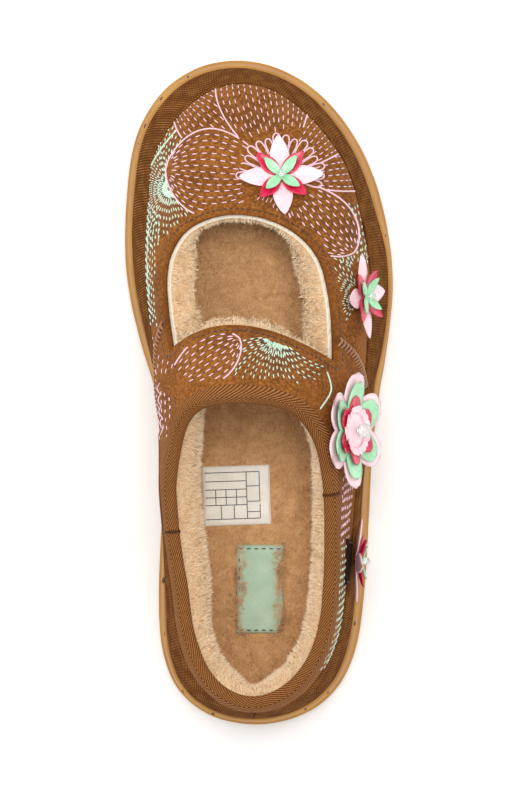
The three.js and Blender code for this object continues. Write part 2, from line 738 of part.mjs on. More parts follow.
/** A plain plate on the outer quarter. */
function badgeMesh() {
  const { length, height, thickness, ...place } = BADGE
  const mesh = meshOf('badge', new THREE.BoxGeometry(height, length, thickness), 'badge')
  sitOn(mesh, planPoint(place), BADGE_STEP + thickness / 2)
  return mesh
}

/** The value between two others at which a rising measure reaches its goal. */
function solve(low, high, goal, measure) {
  for (let i = 0; i < HALVINGS; i++) {
    const middle = (low + high) / 2
    if (measure(middle) < goal) low = middle
    else high = middle
  }
  return (low + high) / 2
}

/** The station and the place across of the upper's point that lies under a place seen from above. */
function placeOn({ x, y }) {
  const acrossAt = (station) => solve(-0.99, 0.99, x, (across) => skin(station, across).x)
  const station = solve(0.1, 0.9, y, (value) => skin(value, acrossAt(value)).y)
  return { station, across: acrossAt(station) }
}

/** Puts an object on the upper, its own Z along the face's normal and its own Y to the toe. */
function sitOn(object, place, distance, lean = 0) {
  const { station, across } = placeOn(place)
  const normal = skinNormal(station, across)
  const toe = new THREE.Vector3(0, 1, 0).addScaledVector(normal, -normal.y).normalize()
  const out = toe.clone().cross(normal).normalize()
  normal.applyAxisAngle(toe, THREE.MathUtils.degToRad(lean))
  out.applyAxisAngle(toe, THREE.MathUtils.degToRad(lean))
  object.position.copy(skin(station, across)).addScaledVector(normal, distance)
  object.quaternion.setFromRotationMatrix(new THREE.Matrix4().makeBasis(out, toe, normal))
}

/** The points round one sheet of petals, each with its height: the petals' edges rise above their creases. */
function petalOutline({ shape, count, reach, half, notch, lift }) {
  const sides = PETAL_SHAPES[shape]
  const points = []
  for (let i = 0; i < count; i++) {
    const middle = (2 * Math.PI * i) / count
    const place = (along, aside) => {
      const rise = lift * along ** 2 + (aside === 0 ? 0 : PETAL_CREASE)
      const point = new THREE.Vector3(reach * along, half * aside, rise)
      points.push(point.applyAxisAngle(new THREE.Vector3(0, 0, 1), middle))
    }
    const gap = Math.PI / count
    const valley = new THREE.Vector3(notch, 0, PETAL_CREASE)
    points.push(valley.applyAxisAngle(new THREE.Vector3(0, 0, 1), middle - gap))
    sides.forEach((row) => place(row.along, -row.half))
    place(1, 0)
    sides.toReversed().forEach((row) => place(row.along, row.half))
  }
  return points
}

/** The faces of a disc, from its middle point out through rings of points, facing up. */
function discFaces(middle, ringCount, count) {
  const faces = []
  for (let i = 0; i < count; i++) {
    const j = (i + 1) % count
    faces.push([middle, middle + 1 + i, middle + 1 + j])
    for (let k = 1; k < ringCount; k++) {
      const outer = middle + 1 + k * count
      const inner = outer - count
      faces.push(...quad(inner + i, outer + i, outer + j, inner + j))
    }
  }
  return faces
}

/**
 * One die-cut sheet of petals that lift towards their tips, its hub's top face at the height 0. Halfway out
 * they have a quarter of their lift. A stem widens up from the face of the shoe into the sheet's underside.
 */
function petalSheet(sheet, stem) {
  const edge = petalOutline(sheet)
  const inner = edge.map(({ x, y, z }) => new THREE.Vector3(x / 2, y / 2, z / 4))
  const under = (point) => new THREE.Vector3(point.x, point.y, point.z - PETAL_THICKNESS)
  const top = [new THREE.Vector3(), ...inner, ...edge]
  const foot = new THREE.Vector3(0, 0, -PETAL_THICKNESS - stem)
  const pad = edge.map(({ x, y }) => new THREE.Vector3(x, y, 0).setLength(STEM_RADIUS).add(foot))
  const lower = [foot, ...(stem > 0 ? pad : []), ...inner.map(under), ...edge.map(under)]
  const count = edge.length
  const ringCount = stem > 0 ? 3 : 2
  const lowerFaces = discFaces(top.length, ringCount, count).map((face) => face.toReversed())
  const upperRim = top.length - count
  const lowerRim = top.length + lower.length - count
  return geometryOf(
    [...top, ...lower],
    [...discFaces(0, 2, count), ...lowerFaces, ...wallFaces(lowerRim, upperRim, count)],
  )
}

/** A flower on the upper: sheets of petals stacked on their hubs, and a bead on top. */
function flowerGroup({ name, kind, turn, lean, on, stem, ...place }) {
  const flower = new THREE.Group()
  const { sheets, finishes, beadRadius } = FLOWER_KINDS[kind]
  const pitch = PETAL_THICKNESS + PETAL_CREASE + PETAL_GAP
  sheets.forEach((sheet, i) => {
    const mesh = meshOf(`${name}_${sheet.part}`, petalSheet(sheet, i === 0 ? stem : 0), finishes[i])
    mesh.position.z = stem + PETAL_THICKNESS + i * pitch
    mesh.rotation.z = THREE.MathUtils.degToRad(turn + sheet.turn)
    flower.add(mesh)
  })
  const bead = meshOf(`${name}_bead`, new THREE.IcosahedronGeometry(beadRadius, 1), 'bead')
  bead.position.z = stem + PETAL_THICKNESS + (sheets.length - 1) * pitch + CLEARANCE + beadRadius
  flower.add(bead)
  sitOn(flower, planPoint(place), FACE_STEPS[on] + CLEARANCE, lean)
  return flower
}

/** A named mesh in one of the finishes. */
function meshOf(name, geometry, finish) {
  geometry.computeVertexNormals()
  const material = new THREE.MeshStandardMaterial({ ...FINISHES[finish], metalness: 0 })
  const mesh = new THREE.Mesh(geometry, material)
  mesh.name = name
  return mesh
}

const shoe = new THREE.Group()
shoe.add(
  meshOf('outsole', outsoleGeometry(), 'foam'),
  meshOf('midsole', midsoleGeometry(), 'core'),
  meshOf('platform_tape', platformTapeGeometry(), 'tape'),
  meshOf('insole', insoleGeometry(), 'fleece'),
  meshOf('upper', upperGeometry(), 'suede'),
  meshOf('collar_tape', collarTapeGeometry(), 'tape'),
  meshOf('insole_patch', insolePlate(PATCH), 'patch'),
  meshOf('size_label', insolePlate(SIZE_LABEL), 'label'),
  badgeMesh(),
  ...FLOWERS.map(flowerGroup),
)
shoe.updateMatrixWorld(true)

export default shoe
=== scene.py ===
"""Dresses a right mary jane clog: foam platform, webbing, suede, fleece, embroidery and petal flowers.

Sizes are millimetres until a mesh is made. +Z is up, +Y runs from heel to toe, +X is the outer side.
"""

import logging
import math
from dataclasses import dataclass, field
from enum import Enum
from functools import cached_property
from typing import Any, Callable, Sequence

import bmesh
import bpy
import numpy as np
from mathutils import Matrix, Vector, noise
from mathutils.kdtree import KDTree

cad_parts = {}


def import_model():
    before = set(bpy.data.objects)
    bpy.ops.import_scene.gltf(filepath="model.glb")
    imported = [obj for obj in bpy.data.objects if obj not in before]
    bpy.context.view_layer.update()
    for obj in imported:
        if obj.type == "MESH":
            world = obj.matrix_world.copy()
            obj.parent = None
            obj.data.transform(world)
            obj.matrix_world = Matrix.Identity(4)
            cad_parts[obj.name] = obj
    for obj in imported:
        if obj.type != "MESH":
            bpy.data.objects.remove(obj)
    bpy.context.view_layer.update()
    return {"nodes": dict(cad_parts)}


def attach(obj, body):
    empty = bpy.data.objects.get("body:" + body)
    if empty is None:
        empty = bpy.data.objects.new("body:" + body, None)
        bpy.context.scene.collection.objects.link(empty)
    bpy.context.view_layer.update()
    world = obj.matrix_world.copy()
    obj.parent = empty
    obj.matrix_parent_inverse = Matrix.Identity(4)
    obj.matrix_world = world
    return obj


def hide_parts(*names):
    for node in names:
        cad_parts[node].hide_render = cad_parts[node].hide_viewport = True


LOG = logging.getLogger("clog")
Array = np.ndarray
Piece, Material, Socket = bpy.types.Object, bpy.types.Material, bpy.types.NodeSocket
MM = 0.001


# Numbers along a line

def smooth_step(value: Array) -> Array:
    """Rises smoothly from 0 to 1 as a value goes from 0 to 1."""
    t = np.clip(value, 0.0, 1.0)
    return t * t * (3.0 - 2.0 * t)


def share_of(station: Array) -> Array:
    """The share of the length that a station stands for; stations crowd towards heel and toe."""
    return (1.0 - np.cos(np.pi * np.asarray(station, float))) / 2.0


def unit(vectors: Array) -> Array:
    """Vectors brought to the length 1."""
    return vectors / np.maximum(np.linalg.norm(vectors, axis=-1, keepdims=True), 1e-12)


def arc_lengths(points: Array) -> Array:
    """The distance along a polyline up to each of its points."""
    return np.concatenate([[0.0], np.cumsum(np.linalg.norm(np.diff(points, axis=0), axis=1))])


def read_along(goal: Array, along: Array, points: Array) -> Array:
    """The points at some distances along a polyline, whose own points lie at the distances of along."""
    return np.stack([np.interp(goal, along, column) for column in points.T], axis=1)


def resample(points: Array, count: int) -> Array:
    """Evenly spaced points along a polyline."""
    along = arc_lengths(points)
    return read_along(np.linspace(0.0, along[-1], count), along, points)


def spline(points: Sequence[Sequence[float]], steps: int) -> Array:
    """A smooth curve through a few points.

    Args:
        points: The points, in order.
        steps: How many pieces each span is cut into.

    Returns:
        The curve as a polyline.
    """
    knots = np.asarray(points, float)
    t = np.linspace(0.0, 1.0, steps, endpoint=False)[:, None]
    out = []
    for i in range(len(knots) - 1):
        p0, p1, p2, p3 = knots[[max(i - 1, 0), i, i + 1, min(i + 2, len(knots) - 1)]]
        v0, v1 = (p2 - p0) / 2.0, (p3 - p1) / 2.0
        out.append((2 * p1 - 2 * p2 + v0 + v1) * t**3 + (-3 * p1 + 3 * p2 - 2 * v0 - v1) * t**2 + v0 * t + p1)
    return np.vstack([*out, knots[-1:]])


def polar(reach: Array, angle: Array) -> Array:
    """Points as (x, y) from their distances and their angles in radians."""
    return np.stack([reach * np.cos(angle), reach * np.sin(angle)], axis=-1)


def turned(angle: float) -> Array:
    """The matrix that turns rows of (x, y, z) anticlockwise about Z, by an angle in radians."""
    return np.array([[math.cos(angle), math.sin(angle), 0], [-math.sin(angle), math.cos(angle), 0], [0, 0, 1]])


@dataclass(frozen=True)
class Table:
    """Rows of named columns along the shoe, read smoothly between them. The first column is the place."""

    names: tuple[str, ...]
    rows: tuple[tuple[float, ...], ...]

    def read(self, name: str, at: Array) -> Array:
        """The smooth value of one column.

        Args:
            name: The column.
            at: The places, as shares.

        Returns:
            One value per place.
        """
        table = np.asarray(self.rows, float)
        x, v = table[:, 0], table[:, self.names.index(name)]
        rate = np.diff(v) / np.diff(x)
        slope = np.empty_like(v)
        slope[0], slope[-1] = rate[0], rate[-1]
        both = rate[:-1] * rate[1:]
        total = np.where(both > 0, rate[:-1] + rate[1:], 1.0)
        slope[1:-1] = np.where(both > 0, 2.0 * both / total, 0.0)
        i = np.clip(np.searchsorted(x, at) - 1, 0, len(x) - 2)
        span = x[i + 1] - x[i]
        t = (at - x[i]) / span
        fall = t * t * (3.0 - 2.0 * t)
        curve = span * t * (1.0 - t) * ((1.0 - t) * slope[i] - t * slope[i + 1])
        return v[i] * (1.0 - fall) + v[i + 1] * fall + curve


@dataclass(frozen=True)
class Outline:
    """An outline seen from above, from heel to toe."""

    length: float
    width: float
    heel: float
    rows: Table

    def edge(self, station: Array, side: Array) -> Array:
        """The outline's points on the inner side (-1) or the outer side (+1)."""
        at = share_of(station)
        half = np.sin(np.pi * station) * self.rows.read("half", at)
        x = self.width / 2.0 * (self.rows.read("swing", at) + side * half)
        return np.stack([x, self.heel + self.length * at], axis=-1)

    def inset(self, station: Array, side: Array, inset: Array) -> Array:
        """The outline's points moved inwards, square to it.

        Args:
            station: The stations.
            side: -1 for the inner side, +1 for the outer one.
            inset: How far inwards.

        Returns:
            Points as (x, y).
        """
        step = 1e-3
        along = self.edge(np.minimum(station + step, 1.0), side) - self.edge(np.maximum(station - step, 0.0), side)
        end = (station < step) | (station > 1.0 - step)
        tip = np.stack([np.where(station < 0.5, side, -side), np.zeros_like(side)], axis=-1)
        along = unit(np.where(end[..., None], tip, along))
        inwards = np.stack([-along[..., 1], along[..., 0]], axis=-1)
        return self.edge(station, side) + inwards * (side * inset)[..., None]


SOLE_ROWS = Table(("at", "half", "swing"), (
    (0.0, 1.5, -0.025), (0.1, 1.168, 0.0), (0.2, 0.955, 0.022), (0.3, 0.84, 0.048), (0.4, 0.775, 0.082),
    (0.49, 0.823, 0.07), (0.58, 0.934, 0.041), (0.67, 1.05, 0.011), (0.8, 1.174, -0.04),
    (0.91, 1.306, -0.112), (1.0, 1.42, -0.16)))
UPPER_ROWS = Table(("at", "half", "swing"), (
    (0.0, 1.28, 0.0), (0.1, 1.11, 0.02), (0.2, 0.952, 0.032), (0.33, 0.888, 0.03), (0.43, 0.878, 0.052),
    (0.52, 0.912, 0.053), (0.6, 0.972, 0.036), (0.7, 1.075, 0.015), (0.8, 1.162, -0.022),
    (0.9, 1.29, -0.088), (1.0, 1.27, -0.13)))
SOLE_HEIGHTS = Table(("at", "floor", "lip", "feather"), (
    (0.0, 0.11, 1.0, 1.0), (0.06, 0.0, 0.99, 0.995), (0.3, 0.0, 0.96, 0.97), (0.4, 0.07, 0.94, 0.95),
    (0.52, 0.0, 0.9, 0.905), (0.7, 0.0, 0.85, 0.855), (0.79, 0.03, 0.87, 0.86), (0.9, 0.17, 0.96, 0.9),
    (1.0, 0.4, 1.1, 0.955)))
SIDE_DRAW = Table(("at", "inner", "outer"), (
    (0.0, 1.0, 1.0), (0.4, 1.0, 1.0), (0.5, 1.0, 0.7), (0.6, 1.0, 0.3), (0.7, 1.0, 0.4), (0.8, 1.0, 1.0),
    (1.0, 1.0, 1.0)))
RIDGE = Table(("at", "rise", "swing"), (
    (0.0, 1.45, -0.02), (0.2, 1.45, -0.04), (0.33, 1.33, -0.07), (0.42, 1.12, -0.1), (0.5, 0.985, -0.12),
    (0.61, 0.77, -0.12), (0.78, 0.445, -0.13), (0.86, 0.35, -0.13), (1.0, 0.25, -0.13)))
ARCH = Table(("at", "inner_full", "outer_full", "outer_flare"), (
    (0.0, 1.82, 1.82, 0.0), (0.12, 1.62, 2.0, 0.07), (0.3, 1.95, 2.6, 0.19), (0.38, 2.2, 2.5, 0.19),
    (0.46, 2.25, 2.2, 0.15), (0.58, 2.1, 1.9, 0.05), (0.7, 2.15, 1.9, 0.0), (0.86, 2.25, 2.15, 0.0),
    (1.0, 2.3, 2.3, 0.0)))
TOPLINE = Table(("at", "rise", "tape"), (
    (-0.1, 1.06, 1.25), (0.02, 1.02, 1.25), (0.09, 0.95, 1.2), (0.17, 0.895, 1.1), (0.26, 0.868, 1.0),
    (0.34, 0.885, 1.0), (0.4, 0.95, 0.8), (0.445, 1.045, 0.5), (0.47, 1.13, 0.42), (0.487, 1.225, 0.46),
    (0.5, 1.36, 0.55), (0.53, 1.9, 0.55)))
THROAT_FRONT = (
    (-0.715, 0.57), (-0.77, 0.63), (-0.79, 0.685), (-0.745, 0.725), (-0.62, 0.758), (-0.42, 0.778),
    (-0.18, 0.786), (0.12, 0.778), (0.4, 0.752), (0.585, 0.712), (0.67, 0.655), (0.7, 0.6), (0.705, 0.551))
STRAP_MIDDLE = (-0.1, 0.609)


@dataclass(frozen=True)
class Last:
    """The form of the whole shoe: its sole, its closed upper and the lines that are cut into it.

    A place on the upper is a pair: a station from heel to toe, and a share across, which is -1 at the inner
    feather line, 0 on the ridge and 1 at the outer feather line.
    """

    sole_length: float = 263.0
    sole_width: float = 107.0
    heel_setback: float = 10.5
    toe_setback: float = 12.0
    side_setback: float = 9.9
    outsole_height: float = 23.0
    platform_height: float = 42.0
    instep_rise: float = 66.0
    collar_rise: float = 48.0
    wall: float = 2.0
    panel_step: float = 0.8
    insole: float = 5.0
    tape_drop: float = 10.0
    clearance: float = 0.3
    spine_share: float = 0.72
    side_bulge: float = 0.035
    flare_fall: float = 2.5
    seam_inner: tuple[float, float, float] = (0.6, 0.44, 0.5)
    seam_outer: tuple[float, float, float] = (0.58, 0.51, 0.5)

    @property
    def inside(self) -> float:
        """How deep the wall's inner face lies under its outer one."""
        return self.wall * 0.9

    @property
    def upper_length(self) -> float:
        """The upper's length at the feather line."""
        return self.sole_length - self.heel_setback - self.toe_setback

    @property
    def upper_width(self) -> float:
        """The upper's greatest width at the feather line."""
        return self.sole_width - 2.0 * self.side_setback

    @property
    def sole_plan(self) -> Outline:
        """The sole's outline."""
        return Outline(self.sole_length, self.sole_width, -self.sole_length / 2.0, SOLE_ROWS)

    @property
    def upper_plan(self) -> Outline:
        """The upper's outline at the feather line."""
        heel = -self.sole_length / 2.0 + self.heel_setback
        return Outline(self.upper_length, self.upper_width, heel, UPPER_ROWS)

    def sole_height(self, column: str, y: Array) -> Array:
        """The floor, lip or feather height at places along the sole."""
        at = np.clip((y + self.sole_length / 2.0) / self.sole_length, 0.0, 1.0)
        full = self.platform_height if column == "feather" else self.outsole_height
        return full * SOLE_HEIGHTS.read(column, at)

    def rise(self, points: Array) -> Array:
        """How high points stand over the feather line."""
        return points[..., 2] - self.sole_height("feather", points[..., 1])

    def share_along(self, points: Array) -> Array:
        """The share of the upper's length at points."""
        return (points[..., 1] - self.upper_plan.heel) / self.upper_length

    def upper_y(self, at: Array) -> Array:
        """The place along the upper, from its share of the length."""
        return self.upper_plan.heel + self.upper_length * np.asarray(at, float)

    def plan(self, x: float, at: float) -> Array:
        """A place seen from above, from its shares of the upper's half-width and length."""
        return np.array([self.upper_width / 2.0 * x, float(self.upper_y(at))])

    def skin(self, place: Array, depth: Array | float = 0.0) -> Array:
        """Points of the upper at some depth under its face.

        Args:
            place: Pairs of station and share across.
            depth: How deep under the face, below 0 outside it.

        Returns:
            Points as (x, y, z).
        """
        station = np.clip(place[..., 0], 0.0, 1.0)
        across = np.clip(place[..., 1], -1.0, 1.0)
        depth = np.broadcast_to(np.asarray(depth, float), station.shape)
        side = np.where(across < 0.0, -1.0, 1.0)
        at = share_of(station)
        foot = self.upper_plan.inset(station, side, depth)
        foot_z = self.sole_height("feather", foot[..., 1])
        ridge_at = 0.5 + (at - 0.5) * self.spine_share
        ridge_x = self.upper_width / 2.0 * RIDGE.read("swing", ridge_at)
        ridge_y = self.upper_y(ridge_at)
        ridge_z = self.sole_height("feather", ridge_y) + self.instep_rise * RIDGE.read("rise", ridge_at) - depth
        power = 2.0 / np.where(side < 0, ARCH.read("inner_full", at), ARCH.read("outer_full", at))
        flare = np.where(side < 0, 0.0, ARCH.read("outer_flare", at))
        angle = (1.0 - np.abs(across)) * np.pi / 2.0
        upwards = np.maximum(np.sin(angle), 0.0) ** power
        arch = np.maximum(np.cos(angle), 0.0) ** power + self.side_bulge * np.sin(np.pi * upwards)
        outwards = (1.0 - flare) * arch + flare * np.maximum(1.0 - upwards, 0.0) ** self.flare_fall
        lengthwise = outwards * outwards * (2.0 - outwards)
        return np.stack([
            ridge_x + (foot[..., 0] - ridge_x) * outwards,
            ridge_y + (foot[..., 1] - ridge_y) * lengthwise,
            foot_z + (ridge_z - foot_z) * upwards], axis=-1)

    def slopes(self, place: Array) -> tuple[Array, Array]:
        """How a point of the face moves with its station and with its share across."""
        step = 2e-3
        lengthwise, crosswise = np.array([step, 0.0]), np.array([0.0, step])
        low, high = np.clip(place - lengthwise, 0, 1), np.clip(place + lengthwise, [0, -1], 1)
        low[..., 1], high[..., 1] = place[..., 1], place[..., 1]
        by_station = (self.skin(high) - self.skin(low)) / np.maximum(high - low, 1e-9)[..., :1]
        left = np.clip(place - crosswise, -1, 1)
        right = np.clip(place + crosswise, -1, 1)
        by_across = (self.skin(right) - self.skin(left)) / np.maximum(right - left, 1e-9)[..., 1:]
        return by_station, by_across

    def normal(self, place: Array) -> Array:
        """The outward direction of the face."""
        by_station, by_across = self.slopes(place)
        return unit(np.cross(by_across, by_station))

    def opened(self, spot: Array) -> Array:
        """Places from spots, whose second number runs evenly over the ridge."""
        return np.stack([spot[:, 0], np.sign(spot[:, 1]) * np.abs(spot[:, 1]) ** 1.12], axis=1)

    @cached_property
    def atlas(self) -> tuple[Array, Array, Array]:
        """An even grid seen from above, as its x and y values, and the nearest of many spots to each point."""
        x, y = np.arange(-48.0, 48.1, 1.0), np.arange(-121.0, 120.1, 1.0)
        spots = np.stack(np.meshgrid(
            np.linspace(0.01, 0.99, 240), np.linspace(-0.97, 0.97, 201), indexing="ij"), axis=-1).reshape(-1, 2)
        seen = self.skin(self.opened(spots))
        tree = KDTree(len(seen))
        for k, (at_x, at_y, _) in enumerate(seen):
            tree.insert((at_x, at_y, 0.0), k)
        tree.balance()
        return x, y, spots[[[tree.find((i, j, 0.0))[1] for j in y] for i in x]]

    def locate(self, plan: Array) -> Array:
        """Places on the face that lie under points seen from above.

        Args:
            plan: Points as (x, y).

        Returns:
            Pairs of station and share across.
        """
        x, y, spots = self.atlas
        goal = np.reshape(plan, (-1, 2))
        i = np.clip(np.rint(goal[:, 0] - x[0]), 0, len(x) - 1).astype(int)
        j = np.clip(np.rint(goal[:, 1] - y[0]), 0, len(y) - 1).astype(int)
        spot, step = spots[i, j], 5e-4
        for _ in range(7):
            here, along, over = (self.skin(self.opened(spot + shift))[:, :2] for shift in (
                np.zeros(2), np.array([step, 0.0]), np.array([0.0, step])))
            along, over, miss = (along - here) / step, (over - here) / step, goal - here
            area = np.minimum(along[:, 0] * over[:, 1] - along[:, 1] * over[:, 0], -1.0)
            move = np.stack([miss[:, 0] * over[:, 1] - miss[:, 1] * over[:, 0],
                             along[:, 0] * miss[:, 1] - along[:, 1] * miss[:, 0]], axis=1) / area[:, None]
            spot = np.clip(spot + np.clip(move, -0.03, 0.03), [0.003, -0.97], [0.997, 0.97])
        return self.opened(spot).reshape(np.shape(plan))

    def collar_gap(self, points: Array) -> Array:
        """How far points lie under the collar's edge in the side view; in front of the collar it is large."""
        at = self.share_along(points)
        base = float(self.sole_height("feather", self.upper_y(0.0)))
        step = 2e-3
        run = self.topline(at + step) - self.topline(at - step)
        slope = run / (2.0 * step * self.upper_length)
        return (base + self.topline(at) - points[..., 2]) / np.sqrt(1.0 + slope**2)

    def topline(self, at: Array) -> Array:
        """The collar edge's height over the heel's feather line; it climbs on in front of the strap."""
        first, last, climb = TOPLINE.rows[0][0], TOPLINE.rows[-1][0], 18.0
        near = np.clip(at, first, last)
        return self.collar_rise * (TOPLINE.read("rise", near) + climb * np.maximum(at - last, 0.0))

    def tape_reach(self, points: Array) -> Array:
        """How far the collar tape comes down the face at points of it."""
        at = self.share_along(points)
        return self.tape_drop * TOPLINE.read("tape", np.clip(at, TOPLINE.rows[0][0], TOPLINE.rows[-1][0]))

    def throat_line(self) -> Array:
        """The throat's outline seen from above, as a closed polyline."""
        front = spline([self.plan(*row) for row in THROAT_FRONT], 10)
        start, end, middle = front[-1], front[0], self.plan(*STRAP_MIDDLE)
        handle = 2.0 * middle - (start + end) / 2.0
        t = np.linspace(0.0, 1.0, 60)[1:-1, None]
        strap = (1 - t) ** 2 * start + 2 * t * (1 - t) * handle + t**2 * end
        return np.vstack([front, strap])

    def throat_gap(self, points: Array) -> Array:
        """How far points lie outside the throat's outline seen from above; inside it is below 0."""
        line = self.throat_line()
        flat = np.reshape(points[..., :2], (-1, 2))
        start, run = line, np.roll(line, -1, axis=0) - line
        best = np.full(len(flat), 1e9)
        crossings = np.zeros(len(flat), int)
        for p, d in zip(start, run):
            to = flat - p
            t = np.clip(to @ d / max(d @ d, 1e-12), 0.0, 1.0)
            best = np.minimum(best, np.linalg.norm(to - t[:, None] * d, axis=1))
            spans = (p[1] > flat[:, 1]) != (p[1] + d[1] > flat[:, 1])
            with np.errstate(divide="ignore", invalid="ignore"):
                cut = p[0] + d[0] * (flat[:, 1] - p[1]) / d[1]
            crossings += spans & (flat[:, 0] < cut)
        return np.where(crossings % 2 == 1, -best, best).reshape(points.shape[:-1])

    def seam_gap(self, points: Array) -> Array:
        """How far points lie behind the seam between vamp and strap panel."""
        gaps = []
        for top, foot, rise in (self.seam_inner, self.seam_outer):
            top_y, foot_y = float(self.upper_y(top)), float(self.upper_y(foot))
            foot_z = float(self.sole_height("feather", foot_y))
            top_z = float(self.sole_height("feather", top_y)) + self.instep_rise * rise
            share = np.clip((points[..., 2] - foot_z) / (top_z - foot_z), 0.0, 1.3)
            gaps.append((foot_y + (top_y - foot_y) * share - points[..., 1]) * math.cos(math.atan2(
                top_y - foot_y, top_z - foot_z)))
        return np.where(points[..., 0] < 0.0, gaps[0], gaps[1])

    def step(self, points: Array) -> Array:
        """How far the strap panel stands out from the vamp at points of the face."""
        return self.panel_step * smooth_step(self.seam_gap(points) / 1.2 + 0.5)

    def walk(self, start: Array, field_at: Callable[[Array], Array], shares: Array, reach: Array) -> Array:
        """Walks over the face up a field's slope, square to its contours.

        Args:
            start: The places to start from.
            field_at: The field's value at points of the face.
            shares: The shares of the reach at which places are noted, growing from 0.
            reach: The length that each place is walked in all.

        Returns:
            Places, one row per share.
        """
        rows, place, done = [], start.copy(), 0.0
        for goal in shares:
            steps = max(1, math.ceil(abs(goal - done) * float(np.max(np.abs(reach))) / 0.5))
            for _ in range(steps):
                by_station, by_across = self.slopes(place)
                h = 1e-3
                east = np.clip(place + [h, 0.0], [0.0, -1.0], 1.0)
                west = np.clip(place - [h, 0.0], [0.0, -1.0], 1.0)
                north, south = place + [0.0, h], place - [0.0, h]
                f_s = (field_at(self.skin(east)) - field_at(self.skin(west))) / np.maximum(
                    east[:, 0] - west[:, 0], 1e-9)
                f_a = (field_at(self.skin(north)) - field_at(self.skin(south))) / (2 * h)
                e = (by_station**2).sum(1)
                f = (by_station * by_across).sum(1)
                g = (by_across**2).sum(1)
                det = np.maximum(e * g - f * f, 1e-6)
                up = np.stack([(g * f_s - f * f_a) / det, (e * f_a - f * f_s) / det], axis=1)
                pace = np.sqrt(np.maximum(up[:, 0] * f_s + up[:, 1] * f_a, 1e-9))
                place = place + up / pace[:, None] * ((goal - done) / steps * reach)[:, None]
                place = np.clip(place, [0.0, -1.0], 1.0)
            done = goal
            rows.append(place.copy())
        return np.array(rows)


# Meshes

def mesh_object(
    name: str,
    points: Array,
    faces: Sequence[Sequence[int]] | Array,
    uv: Array | None = None,
    merge: float = 0.0,
    smooth: bool = True,
    shades: dict[str, Array] | None = None,
) -> Piece:
    """Makes an object from points in millimetres.

    Args:
        name: The piece's name.
        points: Its points.
        faces: Its faces, as indices of points.
        uv: One pair per point, for weaves and ribs, in millimetres.
        merge: Points closer than this become one.
        smooth: Whether its shading is smooth.
        shades: Named values per point that materials read.

    Returns:
        The new object, in the scene.
    """
    mesh = bpy.data.meshes.new(name)
    mesh.from_pydata((np.asarray(points) * MM).tolist(), [], [list(map(int, face)) for face in faces])
    for label, values in (shades or {}).items():
        layer = mesh.attributes.new(label, "FLOAT", "POINT")
        layer.data.foreach_set("value", np.asarray(values, np.float32))
    if uv is not None:
        corners = np.empty(len(mesh.loops), np.int32)
        mesh.loops.foreach_get("vertex_index", corners)
        mesh.uv_layers.new(name="UVMap").data.foreach_set("uv", np.asarray(uv, np.float32)[corners].ravel())
    if merge:
        work = bmesh.new()
        work.from_mesh(mesh)
        bmesh.ops.remove_doubles(work, verts=work.verts, dist=merge * MM)
        work.to_mesh(mesh)
        work.free()
    mesh.polygons.foreach_set("use_smooth", np.full(len(mesh.polygons), smooth))
    mesh.update()
    piece = bpy.data.objects.new(name, mesh)
    bpy.context.scene.collection.objects.link(piece)
    return piece


def settle(piece: Piece, slot: str, material: Material, *nodes: str) -> Piece:
    """Gives a piece its material and its place in the frame.

    Args:
        piece: The piece.
        slot: A material slot's name; not used.
        material: Its finish.
        nodes: The solids that it stands for.

    Returns:
        The same piece.
    """
    piece.data.materials.clear()
    piece.data.materials.append(material)
    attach(piece, "root")
    if nodes:
        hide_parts(*nodes)
    LOG.info("%s: %d faces", piece.name, len(piece.data.polygons))
    return piece


def grid_faces(rows: int, columns: int, closed: bool = False) -> Array:
    """The quads of a grid of points, row by row.

    Args:
        rows: How many rows of points.
        columns: How many points in a row.
        closed: Whether a row's end joins its start.

    Returns:
        Quads as indices.
    """
    i, j = np.meshgrid(np.arange(rows - 1), np.arange(columns if closed else columns - 1), indexing="ij")
    i2, j2 = i + 1, (j + 1) % columns
    quads = np.stack([i * columns + j, i * columns + j2, i2 * columns + j2, i2 * columns + j], axis=-1)
    return quads.reshape(-1, 4)


def triangles(quads: Array) -> Array:
    """The two triangles of each quad."""
    return np.vstack([quads[:, [0, 1, 2]], quads[:, [0, 2, 3]]])


def rim_walls(rows: int, columns: int, first: int = 0) -> list[tuple[int, ...]]:
    """The quads between the border of a grid of points and that of a second grid that follows it.

    Args:
        rows: How many rows of points each grid has.
        columns: How many points are in a row.
        first: The index of the first grid's first point.

    Returns:
        Quads as indices.
    """
    count = rows * columns
    ring = [*range(columns)] + [columns * r + columns - 1 for r in range(1, rows)]
    ring += [count - 1 - c for c in range(1, columns)] + [columns * r for r in range(rows - 2, 0, -1)]
    return [(b + first, a + first, a + first + count, b + first + count) for a, b in zip(ring, ring[1:] + ring[:1])]


def ball(radius: float) -> tuple[Array, list[list[int]]]:
    """The points and the faces of a faceted ball."""
    work = bmesh.new()
    bmesh.ops.create_icosphere(work, subdivisions=2, radius=radius)
    points = np.array([v.co for v in work.verts])
    faces = [[v.index for v in f.verts] for f in work.faces]
    work.free()
    return points, faces


def lumps(points: Array, size: float, seed: float = 0.0) -> Array:
    """Soft noise between -1 and 1 at points, its lumps about as wide as a size."""
    shift = Vector((seed, 2.0 * seed, -seed))
    return np.array([noise.noise(Vector(p) / size + shift) for p in np.asarray(points).reshape(-1, 3)])


